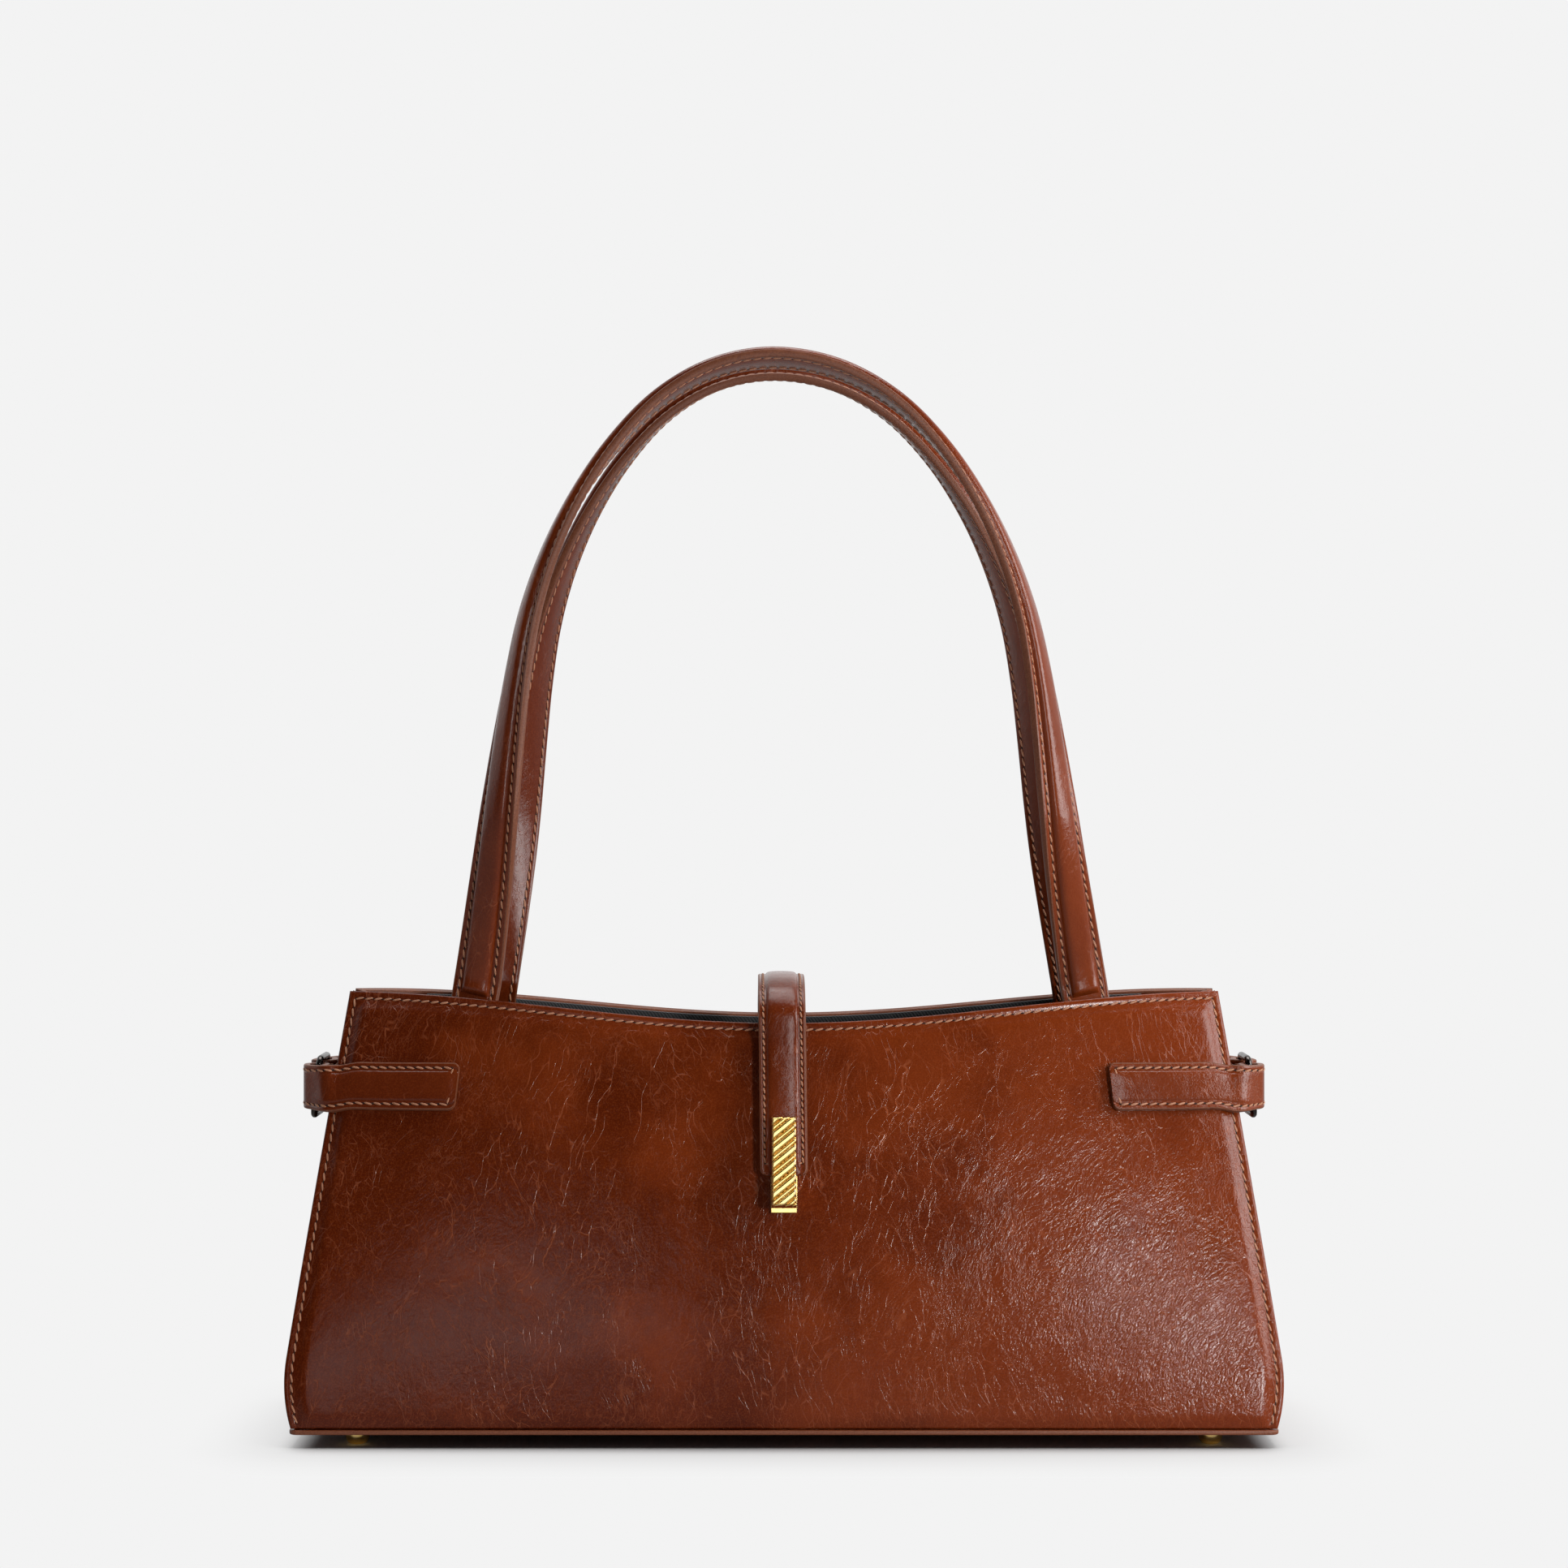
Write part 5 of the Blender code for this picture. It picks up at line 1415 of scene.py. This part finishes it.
def make_clasp():
    """The ribbed bar with the thick foot that holds its magnet, and the seat on the panel."""
    centre, lean = clasp_frame()
    stand = Matrix.Translation(centre) @ Matrix.Rotation(-lean, 4, "X")
    foot_back = TAB_STANDOFF + TAB_FLANGE + TAB_PAD - SEAT_THICKNESS - CLEARANCE

    def place(column, row):
        side = math.sin((column / BAR_COLUMNS - 0.5) * math.pi)
        x = side * BAR_WIDTH / 2
        z = (row / BAR_ROWS - 0.5) * BAR_LENGTH
        return Vector((x, -bar_surface(x, z), z))

    shape = mapped_grid(BAR_COLUMNS, BAR_ROWS, place)
    # a mask of the grooves between the ribs, for the painted shade that darkens them
    groove_shade = shape.verts.layers.float.new("groove_shade")
    for corner in shape.verts:
        corner[groove_shade] = ease(1 - bar_rib(corner.co.x, corner.co.z) / 0.5)
    rim = [edge for edge in shape.edges if edge.is_boundary]
    made = bmesh.ops.extrude_edge_only(shape, edges=rim)["geom"]
    for corner in (item for item in made if isinstance(item, bmesh.types.BMVert)):
        corner.co.y = 0.0
    bmesh.ops.holes_fill(shape, edges=[edge for edge in shape.edges if edge.is_boundary], sides=0)
    bmesh.ops.recalc_face_normals(shape, faces=shape.faces)
    low = -BAR_LENGTH / 2 + BAR_FOOT_INSET
    middle = (foot_back - BAR_FOOT_SINK) / 2 - BAR_FOOT_SHORT
    size = (BAR_WIDTH - 2 * BAR_FOOT_INSET, foot_back + BAR_FOOT_SINK, BAR_FOOT_LENGTH)
    bevelled_box(shape, size, (0, middle, low + BAR_FOOT_LENGTH / 2), BAR_FOOT_ROUND)
    bmesh.ops.transform(shape, matrix=stand, verts=shape.verts)
    add_piece("ribbed_bar", shape, ("gold",), "tab", ["clasp_bar"], smooth_angle=50)

    seat_low = -BAR_LENGTH / 2 - SEAT_OVERHANG
    seat_back = foot_back + CLEARANCE + SEAT_THICKNESS / 2
    shape = bmesh.new()
    size = (BAR_WIDTH + SEAT_EXTRA, SEAT_THICKNESS, SEAT_HEIGHT)
    bevelled_box(shape, size, (0, seat_back, seat_low + SEAT_HEIGHT / 2), SEAT_ROUND)
    bmesh.ops.transform(shape, matrix=stand, verts=shape.verts)
    add_piece("magnet_seat", shape, ("gold",), "bag", ["clasp_seat"], smooth_angle=50)


# Side straps

def strap_layer():
    """How far a side strap's middle stands out from the panel's border plane."""
    return PAD_RISE + CLEARANCE + STRAP_LEATHER / 2


def ring_centre():
    """Middle of the right ring, halfway between its two upright bars."""
    loop_height = STRAP_HEIGHT - STRAP_DROP
    edge = front_surface(1.0, up_at(loop_height, 1.0))
    return Vector((edge.x + RING_REACH, 0.0, loop_height - RING_DROP))


def side_strap_stations():
    """Stations of the right front strap: its stitched end, the panel's edge, the ring, its tail."""
    stations = []
    start = up_at(STRAP_HEIGHT, 0.75)
    first = across_at(STRAP_END, start)
    reach = ring_centre().x - STRAP_END
    for step in (*CORNER_STEPS, STRAP_CORNER, *BELT_STOPS):
        across = first + across_at(step, start)
        level = up_at(STRAP_HEIGHT - STRAP_DROP * step / reach, across)
        _, z_dir = front_tangents(across, level)
        out = front_outward(across, level)
        place = front_point(across, level, -strap_layer())
        stations.append((place, z_dir, out, rounded_end(step, STRAP_CORNER), ease(step / STRAP_PAD_RUN)))
    last_place, last_up, _, _, _ = stations[-1]
    last_along = (stations[-1][0] - stations[-2][0]).normalized()

    bar = ring_centre() + Vector((0, -RING_SPREAD / 2, 0))
    radius = RING_WIRE / 2 + LOOSE_FIT + STRAP_LEATHER / 2
    turn_points = [
        bar + Vector((math.cos(angle), math.sin(angle), 0)) * radius
        for angle in map(math.radians, BELT_TURN)
    ]
    tail = [turn_points[-1] + Vector((0.0004, -STRAP_TAIL * 0.55, 0))]
    tail.append(turn_points[-1] + Vector((0.0010, -STRAP_TAIL, 0)))
    run = [last_place, last_place + last_along * 0.005, turn_points[0] + Vector((-0.0012, -0.0040, 0))]
    for point in run + turn_points + tail:
        point.z = STRAP_HEIGHT - STRAP_DROP
    run[0].z = last_place.z
    run[1].z = mix(last_place.z, STRAP_HEIGHT - STRAP_DROP, 0.5)
    path = smooth_path(run, 3)[1:] + turn_points[1:] + tail
    for i, point in enumerate(path):
        share = ease((i + 1) / 6)
        up = (last_up * (1 - share) + Vector((0, 0, 1)) * share).normalized()
        along = direction_at([last_place, *path], i + 1)
        out = along.cross(up).normalized()
        up = out.cross(along).normalized()
        inset = (STRAP_WIDTH - LOOP_WIDTH) / 2 * share
        stations.append((point, up, out, inset, 1 - share))
    return stations


def make_side_straps():
    section = strap_section(STRAP_WIDTH, STRAP_LEATHER, STRAP_PAD, STRAP_PAD_WIDTH, BELT_SEAM)
    stations = refined(side_strap_stations(), lambda place: BELT_STEP)
    line_place = STRAP_WIDTH / 2 - BELT_SEAM
    sunk = STRAP_LEATHER / 2 - SEAM_PULL * 0.5
    first = next(i for i, station in enumerate(stations) if station[3] == 0.0)
    for side_name, side in (("left", LEFT), ("right", RIGHT)):
        for face_name, face in (("front", FRONT), ("back", BACK)):
            placed = flipped(stations, Vector((side, -face, 1)))
            name = f"{side_name}_{face_name}_belt"
            nodes = [f"{side_name}_side_strap_{face_name}"]
            strap(name, placed, section, STRAP_WIDTH, STRAP_LEATHER, "bag", nodes)
            sewn = placed[first:-4]
            slant = STITCH_SLANT * side * -face
            shape = bmesh.new()
            for across in (-line_place, line_place):
                sew(shape, strap_line(sewn, across, STRAP_WIDTH, sunk), BELT_PITCH, slant)
            sew(shape, end_row(sewn[0], line_place, sunk), BELT_PITCH, slant)
            add_stitches(f"{name}_stitches", shape, "bag")
        make_ring(side_name, side)


def make_ring(side_name, side):
    """A rectangular wire ring that joins the two halves of a side strap."""
    half_y = RING_SPREAD / 2
    half_z = (RING_OPENING + RING_WIRE) / 2
    outline = []
    for turn, (y, z) in zip(range(4), ((1, 1), (-1, 1), (-1, -1), (1, -1))):
        for step in range(RING_STEPS + 1):
            angle = math.radians(90 * turn + 90 / RING_STEPS * step)
            corner_y = y * (half_y - RING_CORNER) + RING_CORNER * math.cos(angle)
            corner_z = z * (half_z - RING_CORNER) + RING_CORNER * math.sin(angle)
            outline.append(Vector((0, corner_y, corner_z)))
    count = len(outline)
    centre = ring_centre()
    lean = Matrix.Rotation(-side * RING_LEAN, 4, "Y")
    stand = Matrix.Translation((side * centre.x, centre.y, centre.z)) @ lean

    def place(column, row):
        i = row % count
        along = (outline[(i + 1) % count] - outline[i - 1]).normalized()
        away = along.cross(Vector((1, 0, 0)))
        angle = math.tau * column / WIRE_SIDES
        round_wire = Vector((1, 0, 0)) * math.cos(angle) + away * math.sin(angle)
        return stand @ (outline[i] + round_wire * (RING_WIRE / 2))

    shape = mapped_grid(WIRE_SIDES, count, place)
    close_tube(shape)
    nodes = [f"{side_name}_side_ring"]
    add_piece(f"{side_name}_wire_ring", shape, ("steel",), "bag", nodes, smooth_angle=60)


def finish_solids():
    """Gives the solids that stay in view their finishes."""
    steel = ["clasp_back_plate", "clasp_screw_lower", "clasp_screw_upper", "clasp_magnet", "panel_magnet"]
    steel += [name for name in frame["nodes"] if name.startswith("foot_washer")]
    for label, nodes in (("board", ["base_board"]), ("steel", steel)):
        for name in nodes:
            mesh = frame["nodes"][name].data
            mesh.materials.clear()
            mesh.materials.append(finishes[label])


# Studio

def make_floor():
    """A pale floor that keeps the bag's shadow and turns into the white backdrop away from it."""
    shape = bmesh.new()
    bmesh.ops.create_grid(shape, x_segments=1, y_segments=1, size=FLOOR_REACH)
    mesh = bpy.data.meshes.new("floor")
    shape.to_mesh(mesh)
    shape.free()
    floor = place_object("floor", mesh)
    made = bpy.data.materials.new("pale_floor")
    made.use_nodes = True
    tree = made.node_tree
    tree.nodes.clear()
    inset_x, inset_y = SHADOW_INSET
    under = (half_width(PANEL_BOTTOM) - inset_x, BASE_DEPTH / 2 - inset_y, 0.0)
    place = add_node(tree, "ShaderNodeTexCoord").outputs["Object"]
    folded = add_vector_node(tree, "ABSOLUTE", {0: place}).outputs[0]
    beyond = add_vector_node(tree, "SUBTRACT", {0: folded, 1: under}).outputs[0]
    outside = add_vector_node(tree, "MAXIMUM", {0: beyond}).outputs[0]
    away = add_vector_node(tree, "LENGTH", {0: outside}).outputs["Value"]
    core = remap(tree, away, 0.0, SHADOW_CORE, 0.0, CORE_SHARE)
    skirt = remap(tree, away, 0.0, SHADOW_REACH, 0.0, 1 - CORE_SHARE)
    path = add_node(tree, "ShaderNodeLightPath").outputs
    seen = calculate(tree, "MAXIMUM", path["Is Camera Ray"], path["Is Glossy Ray"])
    seen = calculate(tree, "MAXIMUM", seen, path["Is Transmission Ray"])
    share = product(tree, calculate(tree, "ADD", core, skirt), seen)
    colour = colour_mix(tree, path["Is Camera Ray"], FLOOR_GLOSS, BACKDROP)
    diffuse = add_node(tree, "ShaderNodeBsdfDiffuse", {"Color": FLOOR_COLOUR}).outputs[0]
    glow = add_node(tree, "ShaderNodeEmission", {"Color": colour}).outputs[0]
    mixed = add_node(tree, "ShaderNodeMixShader", {0: share, 1: diffuse, 2: glow}).outputs[0]
    add_node(tree, "ShaderNodeOutputMaterial", {"Surface": mixed})
    mesh.materials.append(made)


def make_world():
    """A white studio behind the bag, dim on the camera's side. The camera sees only its white."""
    world = bpy.data.worlds.new("studio")
    bpy.context.scene.world = world
    world.use_nodes = True
    tree = world.node_tree
    tree.nodes.clear()
    where = add_node(tree, "ShaderNodeTexCoord").outputs["Generated"]
    dim = remap(tree, add_node(tree, "ShaderNodeSeparateXYZ", {0: where}).outputs["Y"], 0.12, -0.30)
    path = add_node(tree, "ShaderNodeLightPath").outputs
    seen = calculate(tree, "MAXIMUM", path["Is Glossy Ray"], path["Is Transmission Ray"])
    behind = colour_mix(tree, seen, STUDIO_FILL, BACKDROP)
    around = colour_mix(tree, dim, behind, STUDIO_DIM)
    colour = colour_mix(tree, path["Is Camera Ray"], around, BACKDROP)
    background = add_node(tree, "ShaderNodeBackground", {"Color": colour}).outputs[0]
    add_node(tree, "ShaderNodeOutputWorld", {"Surface": background})


def make_lamps():
    """A raking key light from the right, strip lights that draw the panels' gloss, one from above.

    Each lamp is rectangular, turned to its aim and rolled by degrees. A flag keeps the light of all
    but the overhead one to one group of pieces.
    """
    groups = {}
    for label in ("bag", "panel", "strap", "gold"):
        groups[label] = bpy.data.collections.new(f"{label}_pieces")
    labels = {"strap_leather": "strap", "polished_gold": "gold"}
    for made in bpy.context.scene.objects:
        if made.type == "MESH" and made.name != "floor":
            groups["bag"].objects.link(made)
            groups[labels.get(made.data.materials[0].name, "panel")].objects.link(made)
    for name, place, aim, size, power, roll, label in (
        ("key_softbox", (0.92, -0.34, 0.50), (0, 0, 0.10), (0.55, 0.68), 11.5, 0, "bag"),
        ("right_strip", (0.59, -1.17, 0.235), (0.13, -0.04, 0.06), (0.20, 0.12), 9.0, 40, "panel"),
        ("left_strip", (-0.30, -1.20, 0.23), (-0.10, -0.04, 0.06), (0.42, 0.07), 0.52, -40, "panel"),
        ("strap_softbox", (0.30, -1.24, 0.42), (0, 0, 0.15), (0.30, 0.9), 5.5, 0, "strap"),
        ("gold_card", (0.0, -1.70, 0.42), (0, 0, 0.09), (1.2, 0.8), 7.5, 0, "gold"),
        ("overhead", (0.05, 0.18, 1.45), (0, -0.05, 0), (1.2, 0.7), 16, 0, None),
    ):
        lamp = bpy.data.lights.new(name, "AREA")
        lamp.shape = "RECTANGLE"
        lamp.size, lamp.size_y = size
        lamp.energy = power
        made = place_object(name, lamp)
        turn = (Vector(aim) - Vector(place)).to_track_quat("-Z", "Y").to_matrix().to_4x4()
        made.matrix_world = Matrix.Translation(place) @ turn @ Matrix.Rotation(math.radians(roll), 4, "Z")
        made.visible_camera = False
        if label:
            made.light_linking.receiver_collection = groups[label]


def make_camera():
    lens = bpy.data.cameras.new("camera")
    lens.sensor_width = SENSOR_WIDTH
    lens.lens = FOCAL_PIXELS / FRAME_PIXELS * SENSOR_WIDTH
    made = place_object("camera", lens)
    made.location = CAMERA_PLACE
    made.rotation_euler = (math.radians(90), 0, 0)
    bpy.context.scene.camera = made


def main():
    bpy.context.scene.view_settings.view_transform = "Standard"
    make_finishes()
    make_panels()
    make_gussets()
    make_base()
    make_feet()
    make_lining()
    make_pads()
    make_handles()
    make_tab()
    make_clasp()
    make_side_straps()
    finish_solids()
    make_floor()
    make_world()
    make_lamps()
    make_camera()


main()
